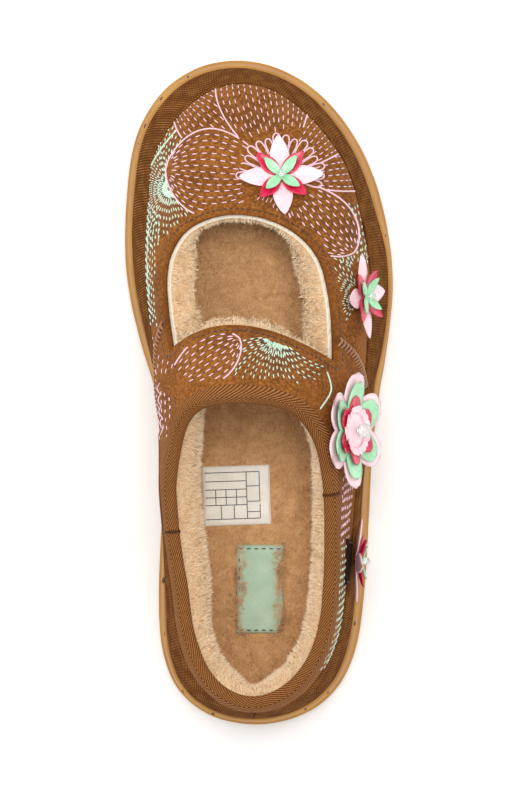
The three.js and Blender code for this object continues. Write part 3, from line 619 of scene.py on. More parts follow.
@dataclass
class Patchwork:
    """A sheet of triangles over the upper's face, its points held as places, that openings are cut out of."""

    places: Array
    faces: Array

    @classmethod
    def whole(cls, stations: int, across: int) -> "Patchwork":
        """The whole face, from heel to toe."""
        s, a = np.meshgrid(np.linspace(0, 1, stations), np.linspace(-1, 1, across), indexing="ij")
        return cls(np.stack([s.ravel(), a.ravel()], axis=1), triangles(grid_faces(stations, across)))

    def keep(self, field_at: Callable[[Array], Array]) -> "Patchwork":
        """Cuts away where a field is below 0.

        Args:
            field_at: The field's value at places.

        Returns:
            What is left, its new edge on the field's zero line.
        """
        value = field_at(self.places)
        inside = value > 0.0
        count = inside[self.faces].sum(axis=1)
        kept = [tuple(face) for face in self.faces[count == 3]]
        mixed = self.faces[(count == 1) | (count == 2)]
        pairs = {
            tuple(sorted((int(f[k]), int(f[(k + 1) % 3]))))
            for f in mixed for k in range(3) if inside[f[k]] != inside[f[(k + 1) % 3]]}
        edges = np.array(sorted(pairs), int).reshape(-1, 2)
        inner = np.where(inside[edges[:, 0]], edges[:, 0], edges[:, 1])
        outer = np.where(inside[edges[:, 0]], edges[:, 1], edges[:, 0])
        low, high = self.places[inner].copy(), self.places[outer].copy()
        for _ in range(14):
            middle = (low + high) / 2.0
            held = (field_at(middle) > 0.0)[:, None]
            low, high = np.where(held, middle, low), np.where(held, high, middle)
        number = {tuple(edge): len(self.places) + i for i, edge in enumerate(edges.tolist())}

        def crossing(a: int, b: int) -> int:
            """The new point between two old ones."""
            return number[tuple(sorted((int(a), int(b))))]

        for face in mixed:
            for k in range(3):
                a, b, c = face[k], face[(k + 1) % 3], face[(k + 2) % 3]
                if inside[a] and not inside[b] and not inside[c]:
                    kept.append((a, crossing(a, b), crossing(c, a)))
                elif not inside[a] and inside[b] and inside[c]:
                    kept.append((crossing(a, b), b, c))
                    kept.append((crossing(a, b), c, crossing(c, a)))
        places = np.vstack([self.places, low])
        faces = np.array(kept, int)
        used = np.unique(faces)
        lookup = np.full(len(places), -1)
        lookup[used] = np.arange(len(used))
        return Patchwork(places[used], lookup[faces])

    def rim(self) -> list[tuple[int, int]]:
        """The directed edges of the sheet's border, without those that meet their own mirror image."""
        seen: dict[tuple[int, int], tuple[int, int]] = {}
        for a, b, c in self.faces.tolist():
            for edge in ((a, b), (b, c), (c, a)):
                key = (min(edge), max(edge))
                if key in seen:
                    seen.pop(key)
                else:
                    seen[key] = edge
        station = self.places[:, 0]
        return [
            (a, b) for a, b in seen.values()
            if not (station[a] == station[b] and station[a] in (0.0, 1.0))]

    def border(self, field_at: Callable[[Array], Array]) -> Array:
        """The places along the part of the rim that lies on a field's zero line.

        Args:
            field_at: The field's value at places.

        Returns:
            The places in order; the last repeats the first where the line is a ring.
        """
        value = np.abs(field_at(self.places))
        follow = {a: b for a, b in self.rim() if value[a] < 0.05 and value[b] < 0.05}
        targets = set(follow.values())
        chain = [next((a for a in follow if a not in targets), next(iter(follow)))]
        while chain[-1] in follow:
            chain.append(follow.pop(chain[-1]))
        return self.places[chain]

    def shell(self, outer: Array, inner: Array) -> tuple[Array, list[tuple[int, ...]]]:
        """A closed wall between two faces.

        Args:
            outer: The outer face's points, one per place.
            inner: The inner face's points.

        Returns:
            All points, and all faces, facing out.
        """
        count = len(outer)
        faces: list[tuple[int, ...]] = [tuple(face) for face in self.faces.tolist()]
        faces += [(c + count, b + count, a + count) for a, b, c in self.faces.tolist()]
        faces += [(b, a, a + count, b + count) for a, b in self.rim()]
        return np.vstack([outer, inner]), faces


# Finishes

@dataclass
class Graph:
    """A material's nodes, with short calls for those that the finishes use."""

    name: str
    material: Material = field(init=False)

    def __post_init__(self) -> None:
        """Starts the material with an empty graph and its two end nodes."""
        self.material = bpy.data.materials.new(self.name)
        self.material.use_nodes = True
        self.tree = self.material.node_tree
        self.tree.nodes.clear()
        self.end = self.tree.nodes.new("ShaderNodeOutputMaterial")
        self.shader = self.tree.nodes.new("ShaderNodeBsdfPrincipled")
        self.tree.links.new(self.shader.outputs[0], self.end.inputs["Surface"])

    def set(self, name: str, value: Any) -> None:
        """Sets or links one of the shader's sockets."""
        self.put(self.shader.inputs[name], value)

    def surface(self, colour: Any, roughness: Any, specular: float = 0.5) -> None:
        """Sets the shader's colour, its roughness and how strongly it mirrors."""
        for name, value in (("Base Color", colour), ("Roughness", roughness), ("Specular IOR Level", specular)):
            self.set(name, value)

    def sheen(self, weight: float, roughness: float, colour: tuple[int, int, int]) -> None:
        """Sets the soft glow of a nap."""
        for name, value in (("Weight", weight), ("Roughness", roughness), ("Tint", (*tint(*colour), 1.0))):
            self.set(f"Sheen {name}", value)

    def put(self, socket: Socket, value: Any) -> None:
        """Sets or links a socket."""
        if isinstance(value, Socket):
            self.tree.links.new(value, socket)
        elif isinstance(value, tuple) and len(value) == 3 and socket.type == "RGBA":
            socket.default_value = (*value, 1.0)
        else:
            socket.default_value = value

    def node(self, kind: str, inputs: dict[Any, Any] | None = None, **settings: Any) -> bpy.types.Node:
        """Adds a node with its inputs and settings."""
        made = self.tree.nodes.new(kind)
        for key, value in settings.items():
            setattr(made, key, value)
        for key, value in (inputs or {}).items():
            self.put(made.inputs[key], value)
        return made

    def place(self) -> Socket:
        """The point on the object, in metres."""
        return self.node("ShaderNodeTexCoord").outputs["Object"]

    def along(self) -> tuple[Socket, Socket]:
        """The two distances that a woven or ribbed piece is laid out by, in millimetres."""
        split = self.node("ShaderNodeSeparateXYZ", {0: self.node("ShaderNodeTexCoord").outputs["UV"]})
        return split.outputs[0], split.outputs[1]

    def shade(self, name: str) -> Socket:
        """A value that the mesh carries at its points."""
        return self.node("ShaderNodeAttribute", attribute_name=name).outputs["Fac"]

    def noise(self, size: float, detail: float = 2.0, rough: float = 0.5) -> Socket:
        """Noise with lumps of a size in millimetres."""
        inputs = {"Scale": 1.0 / (size * MM), "Detail": detail, "Roughness": rough, "Vector": self.place()}
        return self.node("ShaderNodeTexNoise", inputs).outputs[0]

    def cells(self, size: float) -> Socket:
        """Rounded cells of a size in millimetres."""
        inputs = {"Scale": 1.0 / (size * MM), "Vector": self.place()}
        return self.node("ShaderNodeTexVoronoi", inputs).outputs["Distance"]

    def math(self, operation: str, *values: Any) -> Socket:
        """One sum of numbers."""
        return self.node("ShaderNodeMath", dict(enumerate(values)), operation=operation).outputs[0]

    def wave(self, value: Any, period: float) -> Socket:
        """A wave between 0 and 1 over a distance, from one crest to the next in one period."""
        turn = self.math("MULTIPLY", value, 2.0 * math.pi / period)
        return self.math("MULTIPLY_ADD", self.math("COSINE", turn), 0.5, 0.5)

    def remap(self, value: Any, low: float, high: float, to_low: float = 0.0, to_high: float = 1.0) -> Any:
        """A value moved from one range to another and held inside it."""
        inputs = {0: value, 1: low, 2: high, 3: to_low, 4: to_high}
        return self.node("ShaderNodeMapRange", inputs).outputs[0]

    def blend(self, factor: Any, first: Any, second: Any) -> Socket:
        """A colour between two others."""
        made = self.node("ShaderNodeMix", data_type="RGBA")
        for key, value in ((0, factor), (6, first), (7, second)):
            self.put(made.inputs[key], value)
        return made.outputs[2]

    def relief(self, *heights: tuple[Any, float]) -> None:
        """Raises the surface by several heights, each with its depth in millimetres."""
        normal = None
        for height, depth in heights:
            inputs = {"Height": height, "Distance": depth * MM, "Strength": 1.0}
            if normal is not None:
                inputs["Normal"] = normal
            normal = self.node("ShaderNodeBump", inputs).outputs[0]
        self.set("Normal", normal)


def tint(red: int, green: int, blue: int) -> tuple[float, float, float]:
    """A colour for the shader from the 0 to 255 of a colour chart."""
    parts = [c / 255.0 for c in (red, green, blue)]
    return tuple(c / 12.92 if c <= 0.04045 else ((c + 0.055) / 1.055) ** 2.4 for c in parts)


@dataclass(frozen=True)
class Suede:
    """Napped suede, mottled and a little lighter where it is brushed, and darker along its seams, throat edge and
    foot, partly as burnish and partly as painted shade.
    """

    base: tuple[int, int, int] = (137, 83, 33)
    dark: tuple[int, int, int] = (98, 55, 20)
    light: tuple[int, int, int] = (168, 110, 54)
    glow: tuple[int, int, int] = (190, 122, 60)

    def material(self) -> Material:
        """Builds the finish."""
        g = Graph("suede")
        mottle = g.noise(14.0, 4.0, 0.6)
        nap = g.noise(1.1, 6.0, 0.72)
        colour = g.blend(g.remap(mottle, 0.35, 0.68), tint(*self.dark), tint(*self.base))
        colour = g.blend(g.remap(nap, 0.46, 0.66, 0.0, 0.8), colour, tint(*self.light))
        colour = g.blend(g.remap(nap, 0.5, 0.34, 0.0, 0.7), colour, tint(*self.dark))
        # Burnish and painted shade: darker along the seams and the throat's edge, with a painted shadow line along
        # the foot under the webbing's edge.
        colour = g.blend(g.shade("burnish_and_shade"), colour, tint(*self.dark))
        g.surface(colour, g.remap(nap, 0.3, 0.7, 0.82, 0.97), 0.1)
        g.sheen(0.15, 0.5, self.glow)
        g.relief((mottle, 0.5), (nap, 0.28), (g.noise(0.35, 3.0), 0.12))
        return g.material


@dataclass(frozen=True)
class Webbing:
    """Ribbed webbing whose cords carry a fine diagonal twill."""

    base: tuple[int, int, int] = (143, 88, 36)
    dark: tuple[int, int, int] = (82, 44, 14)
    light: tuple[int, int, int] = (180, 122, 58)
    cord: float = 1.8
    twill: float = 1.1

    def material(self) -> Material:
        """Builds the finish."""
        g = Graph("webbing")
        u, v = g.along()
        slant = g.math("ADD", u, g.math("MULTIPLY", v, 1.1))
        yarn = g.wave(slant, self.twill)
        groove = g.wave(v, self.cord)
        weave = g.math("MULTIPLY", yarn, groove)
        worn = g.noise(5.0, 4.0)
        colour = g.blend(g.remap(weave, 0.08, 0.75), tint(*self.dark), tint(*self.base))
        colour = g.blend(g.math("MULTIPLY", g.remap(yarn, 0.6, 1.0), g.remap(worn, 0.4, 0.7)), colour,
                         tint(*self.light))
        g.surface(colour, 0.9, 0.1)
        g.relief((yarn, 0.3), (g.noise(0.5, 3.0), 0.12))
        return g.material


@dataclass(frozen=True)
class Herringbone:
    """Tape woven in two opposite diagonal bands that meet in a V."""

    base: tuple[int, int, int] = (150, 96, 50)
    dark: tuple[int, int, int] = (82, 46, 20)
    light: tuple[int, int, int] = (186, 132, 78)
    yarn: float = 1.7
    half_width: float = 7.0

    def material(self) -> Material:
        """Builds the finish."""
        g = Graph("herringbone")
        u, v = g.along()
        fold = g.math("PINGPONG", g.math("ADD", v, 40.0 * self.half_width), self.half_width)
        ribs = g.wave(g.math("ADD", u, g.math("MULTIPLY", fold, 1.25)), self.yarn)
        fibre = g.noise(0.45, 4.0)
        colour = g.blend(g.remap(ribs, 0.15, 0.8), tint(*self.dark), tint(*self.base))
        colour = g.blend(g.math("MULTIPLY", ribs, g.remap(fibre, 0.45, 0.75)), colour, tint(*self.light))
        colour = g.blend(g.shade("join"), colour, tint(50, 26, 12))
        g.surface(colour, 0.9, 0.1)
        g.relief((ribs, 0.35), (fibre, 0.15))
        return g.material


@dataclass(frozen=True)
class Foam:
    """Moulded foam with fine pores, darker in its scuffs."""

    base: tuple[int, int, int] = (162, 110, 46)
    light: tuple[int, int, int] = (181, 133, 64)
    scuff: tuple[int, int, int] = (112, 72, 38)

    def material(self) -> Material:
        """Builds the finish."""
        g = Graph("foam")
        cloud = g.noise(22.0, 4.0)
        pores = g.cells(0.8)
        marks = g.remap(g.noise(3.2, 5.0, 0.7), 0.66, 0.72)
        colour = g.blend(g.remap(cloud, 0.3, 0.7), tint(*self.base), tint(*self.light))
        colour = g.blend(g.math("MULTIPLY", marks, g.shade("scuffed")), colour, tint(*self.scuff))
        g.surface(colour, g.remap(cloud, 0.3, 0.7, 0.5, 0.66), 0.25)
        g.relief((cloud, 0.3), (pores, 0.1), (g.noise(0.5, 2.0), 0.05))
        return g.material


@dataclass(frozen=True)
class Fleece:
    """Short curly fleece."""

    name: str = "fleece"
    base: tuple[int, int, int] = (228, 192, 146)
    dark: tuple[int, int, int] = (196, 150, 100)
    light: tuple[int, int, int] = (246, 222, 186)
    raw: tuple[int, int, int] = (226, 219, 202)
    curl: float = 2.6

    def material(self) -> Material:
        """Builds the finish."""
        g = Graph(self.name)
        curls = g.noise(self.curl, 5.0, 0.62)
        tufts = g.noise(self.curl * 4.0, 3.0)
        fibre = g.noise(0.5, 4.0, 0.7)
        colour = g.blend(g.remap(curls, 0.36, 0.6), tint(*self.dark), tint(*self.base))
        colour = g.blend(g.remap(fibre, 0.48, 0.72, 0.0, 0.8), colour, tint(*self.light))
        colour = g.blend(g.remap(tufts, 0.35, 0.65, 0.35, 0.0), colour, tint(*self.dark))
        colour = g.blend(g.shade("raw"), colour, tint(*self.raw))
        g.surface(colour, 0.95, 0.1)
        g.sheen(0.3, 0.6, self.light)
        g.set("Subsurface Weight", 0.08)
        g.set("Subsurface Radius", (0.003, 0.002, 0.001))
        g.relief((tufts, 1.2), (curls, 1.0), (fibre, 0.35))
        return g.material


@dataclass(frozen=True)
class Hair:
    """Fleece hairs, darker at the root."""

    name: str
    root: tuple[int, int, int]
    tip: tuple[int, int, int]

    def material(self) -> Material:
        """Builds the finish."""
        g = Graph(self.name)
        tufts = g.noise(9.0, 3.0)
        colour = g.blend(g.shade("tip"), tint(*self.root), tint(*self.tip))
        colour = g.blend(g.remap(tufts, 0.38, 0.66, 0.3, 0.0), colour, tint(*self.root))
        g.surface(colour, 0.85, 0.15)
        g.set("Sheen Weight", 0.1)
        return g.material


@dataclass(frozen=True)
class Petal:
    """Coated leather with a soft pearl gloss and fine grain."""

    name: str
    base: tuple[int, int, int]
    dark: tuple[int, int, int]
    gloss: float = 0.28

    def material(self) -> Material:
        """Builds the finish."""
        g = Graph(self.name)
        grain = g.cells(0.7)
        cloud = g.noise(5.0, 3.0)
        u, _ = g.along()
        veins = g.wave(u, 1.1)
        colour = g.blend(g.remap(cloud, 0.3, 0.75), tint(*self.base), tint(*self.dark))
        g.surface(colour, self.gloss, 0.4)
        g.set("Coat Weight", 0.35)
        g.set("Coat Roughness", 0.18)
        g.relief((cloud, 0.25), (veins, 0.06), (grain, 0.06))
        return g.material


@dataclass(frozen=True)
class Crystal:
    """A clear faceted bead with a faint milky body."""

    def material(self) -> Material:
        """Builds the finish."""
        g = Graph("crystal")
        streaks = g.noise(1.2, 2.0)
        g.surface(g.blend(g.remap(streaks, 0.4, 0.7), tint(244, 246, 242), tint(214, 222, 216)), 0.03)
        g.set("Transmission Weight", 0.75)
        g.set("IOR", 1.56)
        g.set("Coat Weight", 1.0)
        g.set("Coat Roughness", 0.02)
        return g.material


@dataclass(frozen=True)
class Thread:
    """Twisted embroidery thread."""

    name: str
    base: tuple[int, int, int]
    dark: tuple[int, int, int]

    def material(self) -> Material:
        """Builds the finish."""
        g = Graph(self.name)
        fibre = g.noise(0.35, 3.0, 0.6)
        g.surface(g.blend(g.remap(fibre, 0.3, 0.62), tint(*self.dark), tint(*self.base)), 0.5)
        g.set("Sheen Weight", 0.3)
        g.relief((fibre, 0.08))
        return g.material


@dataclass(frozen=True)
class Cloth:
    """A flat woven cloth, such as twill or a satin label."""

    name: str
    base: tuple[int, int, int]
    dark: tuple[int, int, int]
    yarn: float = 0.8
    slant: float = 1.0

    def material(self) -> Material:
        """Builds the finish."""
        g = Graph(self.name)
        u, v = g.along()
        ribs = g.wave(g.math("ADD", u, g.math("MULTIPLY", v, self.slant)), self.yarn)
        soil = g.noise(6.0, 4.0)
        shade = g.math("MULTIPLY", g.remap(ribs, 1.0, 0.2), g.remap(soil, 0.3, 0.7))
        g.surface(g.blend(shade, tint(*self.base), tint(*self.dark)), 0.7)
        g.relief((ribs, 0.12), (g.noise(0.4), 0.08))
        return g.material


@dataclass(frozen=True)
class DarkLeather:
    """Dark grained leather."""

    def material(self) -> Material:
        """Builds the finish."""
        g = Graph("dark leather")
        grain = g.cells(0.6)
        g.surface(g.blend(g.remap(g.noise(3.0), 0.3, 0.7), tint(34, 17, 9), tint(52, 27, 15)), 0.88, 0.15)
        g.relief((grain, 0.12))
        return g.material


@dataclass(frozen=True)
class Paper:
    """The plain pale floor."""

    def material(self) -> Material:
        """Builds the finish."""
        g = Graph("floor")
        g.surface(g.blend(g.noise(400.0), tint(250, 250, 250), tint(244, 244, 244)), 0.9)
        return g.material


# The sole

@dataclass(frozen=True)
class Platform:
    """The foam outsole with its tread, and the webbing wrapped round the platform above it."""

    last: Last
    side_lip: float = 0.9
    side_flare: float = 2.8
    step_share: float = 0.35
    step_height: float = 8.0
    edge_round: float = 1.6
    lug_pitch: float = 11.5
    lug_groove: float = 3.4
    lug_depth: float = 2.8
    lug_chevron: float = 9.0
    tape: float = 1.4
    tape_bulge: float = 0.6
    tape_overlap: float = 1.6
    around: int = 560

    def stations(self) -> tuple[Array, Array]:
        """Stations and sides all the way round, heel to toe on the outer side and back."""
        turn = np.arange(self.around) / self.around * 2.0
        return np.where(turn <= 1.0, turn, 2.0 - turn), np.where(turn <= 1.0, 1.0, -1.0)

    def ring(self, share: float, inset: float) -> Array:
        """The sole's outline seen from above, drawn in by a share of the side's draw and an inset."""
        station, side = self.stations()
        at = share_of(station)
        draw = np.where(side < 0, SIDE_DRAW.read("inner", at), SIDE_DRAW.read("outer", at)) * self.side_flare
        return self.last.sole_plan.inset(station, side, share * draw + inset)

    def tread(self, plan: Array) -> Array:
        """How high the tread's grooves cut over the floor at points seen from above."""
        slope = 2.0 * self.lug_chevron / self.last.sole_width
        place = plan[:, 1] + slope * np.abs(plan[:, 0]) + self.last.sole_length / 2.0
        off = np.abs((place / self.lug_pitch + 0.5) % 1.0 - 0.5) * self.lug_pitch
        return self.lug_depth * smooth_step((self.lug_groove / 2.0 + 0.35 - off) / 0.7)

    def outsole(self) -> Piece:
        """The outsole: side band, wall, lip and a tread of chevrons."""
        last = self.last
        floor = lambda plan: last.sole_height("floor", plan[:, 1])
        lip = lambda plan: last.sole_height("lip", plan[:, 1])
        r, t = self.edge_round, self.step_share
        inner = self.ring(1.0, self.side_lip + self.tape + 1.2)
        rows = [np.c_[inner, lip(inner)]]
        for share, inset, drop in (
                (1.0, self.side_lip + 0.6, 0.0), (1.0, 0.45, 0.0), (1.0, 0.12, 0.12), (0.985, 0.0, 0.42),
                (1.0 - t * 0.4, 0.0, 1.6)):
            plan = self.ring(share, inset)
            rows.append(np.c_[plan, lip(plan) - drop])
        for share in (0.25, 0.5, 0.75):
            plan = self.ring(t + (1.0 - t * 0.4 - t) * (1.0 - share), 0.0)
            high, low = lip(plan) - 1.6, floor(plan) + self.step_height + 1.6
            rows.append(np.c_[plan, high + (low - high) * share])
        for share, inset, rise in (
                (t, 0.0, self.step_height + 1.0), (t * 0.7, -0.05, self.step_height + 0.5),
                (0.0, 0.12, self.step_height + 0.2), (0.0, 0.0, self.step_height - 0.3),
                (0.0, 0.0, self.step_height * 0.5), (0.0, 0.0, r), (0.0, r * 0.13, r * 0.5),
                (0.0, r * 0.5, r * 0.13), (0.0, r, 0.0)):
            plan = self.ring(share, inset)
            rows.append(np.c_[plan, floor(plan) + np.maximum(rise, self.tread(plan))])
        bottom = self.ring(0.0, r)
        middle = (bottom + bottom[(-np.arange(self.around)) % self.around]) / 2.0
        for share in np.linspace(0.0, 1.0, 22)[1:]:
            plan = bottom + (middle - bottom) * share
            rows.append(np.c_[plan, floor(plan) + self.tread(plan)])
        points = np.vstack(rows)
        scuffed = smooth_step((10.0 - points[:, 2]) / 8.0) * 0.8 + 0.3 * smooth_step((np.abs(points[:, 1]) - 70) / 50)
        faces = grid_faces(len(rows), self.around, closed=True)
        points[:, :2] += (lumps(points, 9.0, 3.0) * 0.12)[:, None] * unit(points[:, :2] + 1e-6)
        piece = mesh_object("outsole_foam", points, faces, merge=0.004, shades={"scuffed": scuffed})
        return settle(piece, "foam", Foam().material(), "outsole")

    def flakes(self, material: Material) -> Piece:
        """A few dark crumbs that cling to the outsole's edge."""
        chance = np.random.default_rng(3)
        ring = self.ring(1.0, -0.05)
        points, faces, first = [], [], 0
        for turn in (0.045, 0.07, 0.13, 0.33, 0.36, 0.42, 0.545, 0.575, 0.6, 0.615, 0.845, 0.88, 0.93, 0.965):
            spot = ring[int(turn * self.around)]
            z = float(self.last.sole_height("lip", spot[1])) - chance.uniform(0.4, 2.4)
            crumb, sides = ball(1.0)
            faces += [[k + first for k in face] for face in sides]
            crumb *= chance.uniform(0.4, 0.8) * (1.0 + 0.45 * lumps(crumb, 0.8, turn * 90.0))[:, None]
            points.append(crumb * [1.0, 1.7, 0.7] + [*spot, z])
            first += len(crumb)
        return settle(mesh_object("outsole_crumbs", np.vstack(points), faces, smooth=False), "foam", material)

    def wall_ring(self, rise: float, outwards: Array | float) -> Array:
        """The ring on the upper's face at some height over the feather line, moved outwards."""
        station, side = self.stations()
        low, high = np.zeros_like(station), np.full_like(station, 0.6)
        depth = -np.asarray(outwards) * np.ones_like(station)
        for _ in range(24):
            middle = (low + high) / 2.0
            point = self.last.skin(np.stack([station, side * (1.0 - middle)], axis=-1), depth)
            under = self.last.rise(point) < rise
            low, high = np.where(under, middle, low), np.where(under, high, middle)
        return self.last.skin(np.stack([station, side * (1.0 - (low + high) / 2.0)], axis=-1), depth)

    def webbing(self) -> Piece:
        """The ribbed tape, from the outsole's lip up over the foot of the upper."""
        last, gap = self.last, self.last.clearance
        foot = self.ring(1.0, self.side_lip)
        foot = np.c_[foot, last.sole_height("lip", foot[:, 1]) + gap]
        probe = self.wall_ring(0.0, 0.0)
        stand = gap + last.step(probe)
        head = self.wall_ring(0.0, stand + self.tape)
        brim = self.wall_ring(self.tape_overlap, stand + self.tape * 0.55)
        tuck = self.wall_ring(self.tape_overlap + 0.2, stand * 0.3)
        away = unit(np.roll(foot, -1, axis=0) - np.roll(foot, 1, axis=0))
        out = unit(np.cross(away, np.array([0.0, 0.0, 1.0])))
        cords, samples = 11, 6
        height = np.linalg.norm(head - foot, axis=1)
        rows, lay = [foot - out * 1.6], [-1.0]
        for v in np.linspace(0.0, 1.0, cords * samples + 1):
            swell = self.tape_bulge * math.sin(math.pi * v) + 0.36 * abs(math.sin(math.pi * v * cords)) ** 0.7 - 0.25
            rows.append(foot + (head - foot) * v + out * swell)
            lay.append(v)
        for k, row in enumerate((brim, tuck)):
            rows.append(row)
            lay.append(1.0 + 0.08 * (k + 1))
        points = np.vstack(rows)
        length = arc_lengths(foot)
        lay = np.array(lay)
        uv = np.stack([np.tile(length, len(rows)), (lay[:, None] * height.mean() * np.ones(self.around)).ravel()], 1)
        faces = grid_faces(len(rows), self.around, closed=True)[:, ::-1]
        points += out[np.tile(np.arange(self.around), len(rows))] * (lumps(points, 14.0, 8.0) * 0.15)[:, None]
        piece = mesh_object("platform_webbing", points, faces, uv=uv)
        return settle(piece, "tape", Webbing(cord=height.mean() / cords).material(), "platform_tape")


# The upper and what lines and edges it

@dataclass(frozen=True)
class Upper:
    """The suede wall, its strap panel a step over the vamp, and its fleece lining."""

    last: Last
    stations: int = 190
    across: int = 150
    lining: float = 6.5
    raw_edge: float = 1.3
    bulge: float = 7.0
    tape_cover: float = 0.8
    collar_band: float = 20.0
    throat_band: float = 12.0

    def sheet(self) -> Patchwork:
        """The upper's face with its two openings cut out."""
        whole = Patchwork.whole(self.stations, self.across // 2 * 2 + 1)
        cut = whole.keep(lambda place: self.last.throat_gap(self.last.skin(place)))
        return cut.keep(lambda place: self.last.collar_gap(self.last.skin(place)))

    def creases(self, points: Array) -> Array:
        """The soft waves of worn suede: a trough over the toe joint, folds at the strap's ends and the heel."""
        y, x = points[:, 1], points[:, 0]
        joint = -0.5 * np.exp(-((y - 68.0 + 0.12 * np.abs(x)) / 5.0) ** 2) * smooth_step(np.abs(x) / 30.0)
        side = -0.4 * np.exp(-((y - 25.0 + 0.5 * (points[:, 2] - 60.0)) / 4.0) ** 2) * (np.abs(x) > 30)
        heel = 0.45 * np.sin(points[:, 2] / 4.5) * smooth_step((-y - 70.0) / 40.0)
        return joint + side + heel + 0.35 * lumps(points, 24.0, 5.0) + 0.12 * lumps(points, 6.0, 1.0)

    def suede(self) -> Piece:
        """The suede wall."""
        last = self.last
        sheet = self.sheet()
        face = last.skin(sheet.places)
        outer = last.skin(sheet.places, -last.step(face) - self.creases(face) * 0.5)
        inner = last.skin(sheet.places, last.inside)
        points, faces = sheet.shell(outer, inner)
        near = np.abs(last.seam_gap(face))
        # Burnish and painted shade: darker along the seams and the throat's edge, partly burnish and partly painted
        # shade, and a painted shadow line along the foot where the webbing's edge meets the suede.
        burnish_and_shade = 0.75 * np.exp(-((near / 1.1) ** 2)) + 0.5 * np.exp(-last.throat_gap(face).clip(0) / 1.2)
        burnish_and_shade = np.clip(burnish_and_shade + 0.55 * np.exp(-last.rise(face) / 3.0), 0, 1)
        piece = mesh_object("upper_suede", points, faces, merge=0.004, shades={"burnish_and_shade": np.tile(burnish_and_shade, 2)})
        return settle(piece, "suede", Suede().material(), "upper")

    def fleece(self) -> tuple[Array, Array]:
        """Makes the fleece lining: a raw edge that shows in the throat and a thick roll at the collar.

        Returns:
            The points and triangles of its inner side, which hairs grow on.
        """
        last = self.last
        whole = Patchwork.whole(int(self.stations * 0.86), int(self.across * 0.86) // 2 * 2 + 1)
        cut = whole.keep(lambda place: self.lining_gap(last.skin(place)))
        sheet = cut.keep(lambda place: last.collar_gap(last.skin(place)) - self.tape_cover)
        face = last.skin(sheet.places)
        throat = self.lining_gap(face)
        collar = last.collar_gap(face) - self.tape_cover
        round_off = lambda gap, reach: np.sqrt(np.clip(1.0 - (1.0 - np.clip(gap / reach, 0, 1)) ** 2, 0, 1))
        thick = self.lining * round_off(collar, 5.0) * (0.35 + 0.65 * round_off(throat, 4.0))
        thick = thick * (0.82 + 0.18 * smooth_step(collar / 12.0))
        toe = smooth_step((face[:, 1] - 50.0) / 18.0)
        quarter = smooth_step((10.0 - face[:, 1]) / 20.0)
        heel = smooth_step((-72.0 - face[:, 1]) / 20.0)
        swell = 0.6 * smooth_step(-face[:, 0] / 14.0) * (1.0 - 0.8 * heel) + 0.12
        swell += heel * (0.1 - 0.36 * np.exp(-((face[:, 0] / 8.0) ** 2)))
        thick = thick * (1.0 - 0.55 * toe) * (1.0 + quarter * swell) + 0.3
        outer = last.skin(sheet.places, last.inside + 0.1)
        inner = last.skin(sheet.places, last.inside + 0.1 + thick)
        step = 0.5
        slope = np.stack([last.throat_gap(face + shift) - last.throat_gap(face - shift)
                          for shift in (np.array([step, 0, 0]), np.array([0, step, 0]))], axis=1) / (2 * step)
        bulge = self.bulge * np.exp(-np.clip(throat, 0, None) / 5.0) * (1.0 - 0.85 * smooth_step(
            (face[:, 1] - 48.0) / 17.0)) * round_off(throat, 0.8) * (1.0 - 0.35 * (self.on_strap(face) > 0.5))
        inner[:, :2] -= slope * bulge[:, None]
        inner += last.normal(sheet.places) * ((lumps(inner, 3.4, 2.0) + 0.6 * lumps(inner, 1.7, 9.0)) * 0.5)[:, None]
        points, faces = sheet.shell(outer, inner)
        raw = smooth_step((self.raw_edge + 0.25 - throat) / 0.3) * (1.0 - self.on_strap(face))
        piece = mesh_object("lining_fleece", points, faces, merge=0.004,
                            shades={"raw": np.concatenate([raw, np.full(len(raw), -5.0)])})
        settle(piece, "fleece", Fleece("lining fleece").material())
        count = len(face)
        strip = np.array([(b, a, a + count, b + count) for a, b in sheet.rim()])
        return points, np.vstack([sheet.faces[:, ::-1] + count, triangles(strip)])

    def on_strap(self, points: Array) -> Array:
        """1 along the strap's edge of the throat, 0 along its front and sides."""
        front = spline([self.last.plan(*row) for row in THROAT_FRONT], 10)
        strap = self.last.throat_line()[len(front) - 1:]
        edge = np.interp(points[:, 0], strap[::-1, 0], strap[::-1, 1])
        return smooth_step((edge + 4.0 - points[:, 1]) / 3.0) * (np.abs(points[:, 0]) < 29.5)

    def lining_gap(self, points: Array) -> Array:
        """How far points lie outside the lining's own edge in the throat."""
        return self.last.throat_gap(points) + self.raw_edge * (1.0 - 0.8 * self.on_strap(points))

    def shown(self, points: Array) -> Array:
        """How densely hairs stand on the lining: fully near its edges, and none far inside."""
        last = self.last
        collar, throat = last.collar_gap(points), last.throat_gap(points)
        by_collar = smooth_step((self.collar_band - collar) / 6.0)
        by_throat = smooth_step((self.throat_band - np.abs(throat)) / 5.0)
        near = np.where(throat < 20.0, np.maximum(by_collar, by_throat), by_collar)
        return near * smooth_step((collar + 1.0) / 2.0) * (last.rise(points) >= 2.0) + 1e-5

    def flow(self, points: Array) -> Array:
        """The way the lining's hairs lean: down and inwards."""
        inwards = -points * [1.0, 0.25, 0.0] / 40.0
        return inwards + [0.0, 0.0, -0.7]


@dataclass(frozen=True)
class Plate:
    """A thin cloth on the insole, its middle given as shares of the upper's half-width and length."""

    name: str
    middle: tuple[float, float]
    size: tuple[float, float]
    bare: tuple[float, float]
    turn: float
    lift: float


PATCH = Plate("patch", (0.037, 0.189), (18.0, 34.0), (17.0, 34.0), 0.0, 1.1)
LABEL = Plate("label", (-0.172, 0.339), (26.0, 23.0), (26.5, 23.5), 2.0, 0.9)


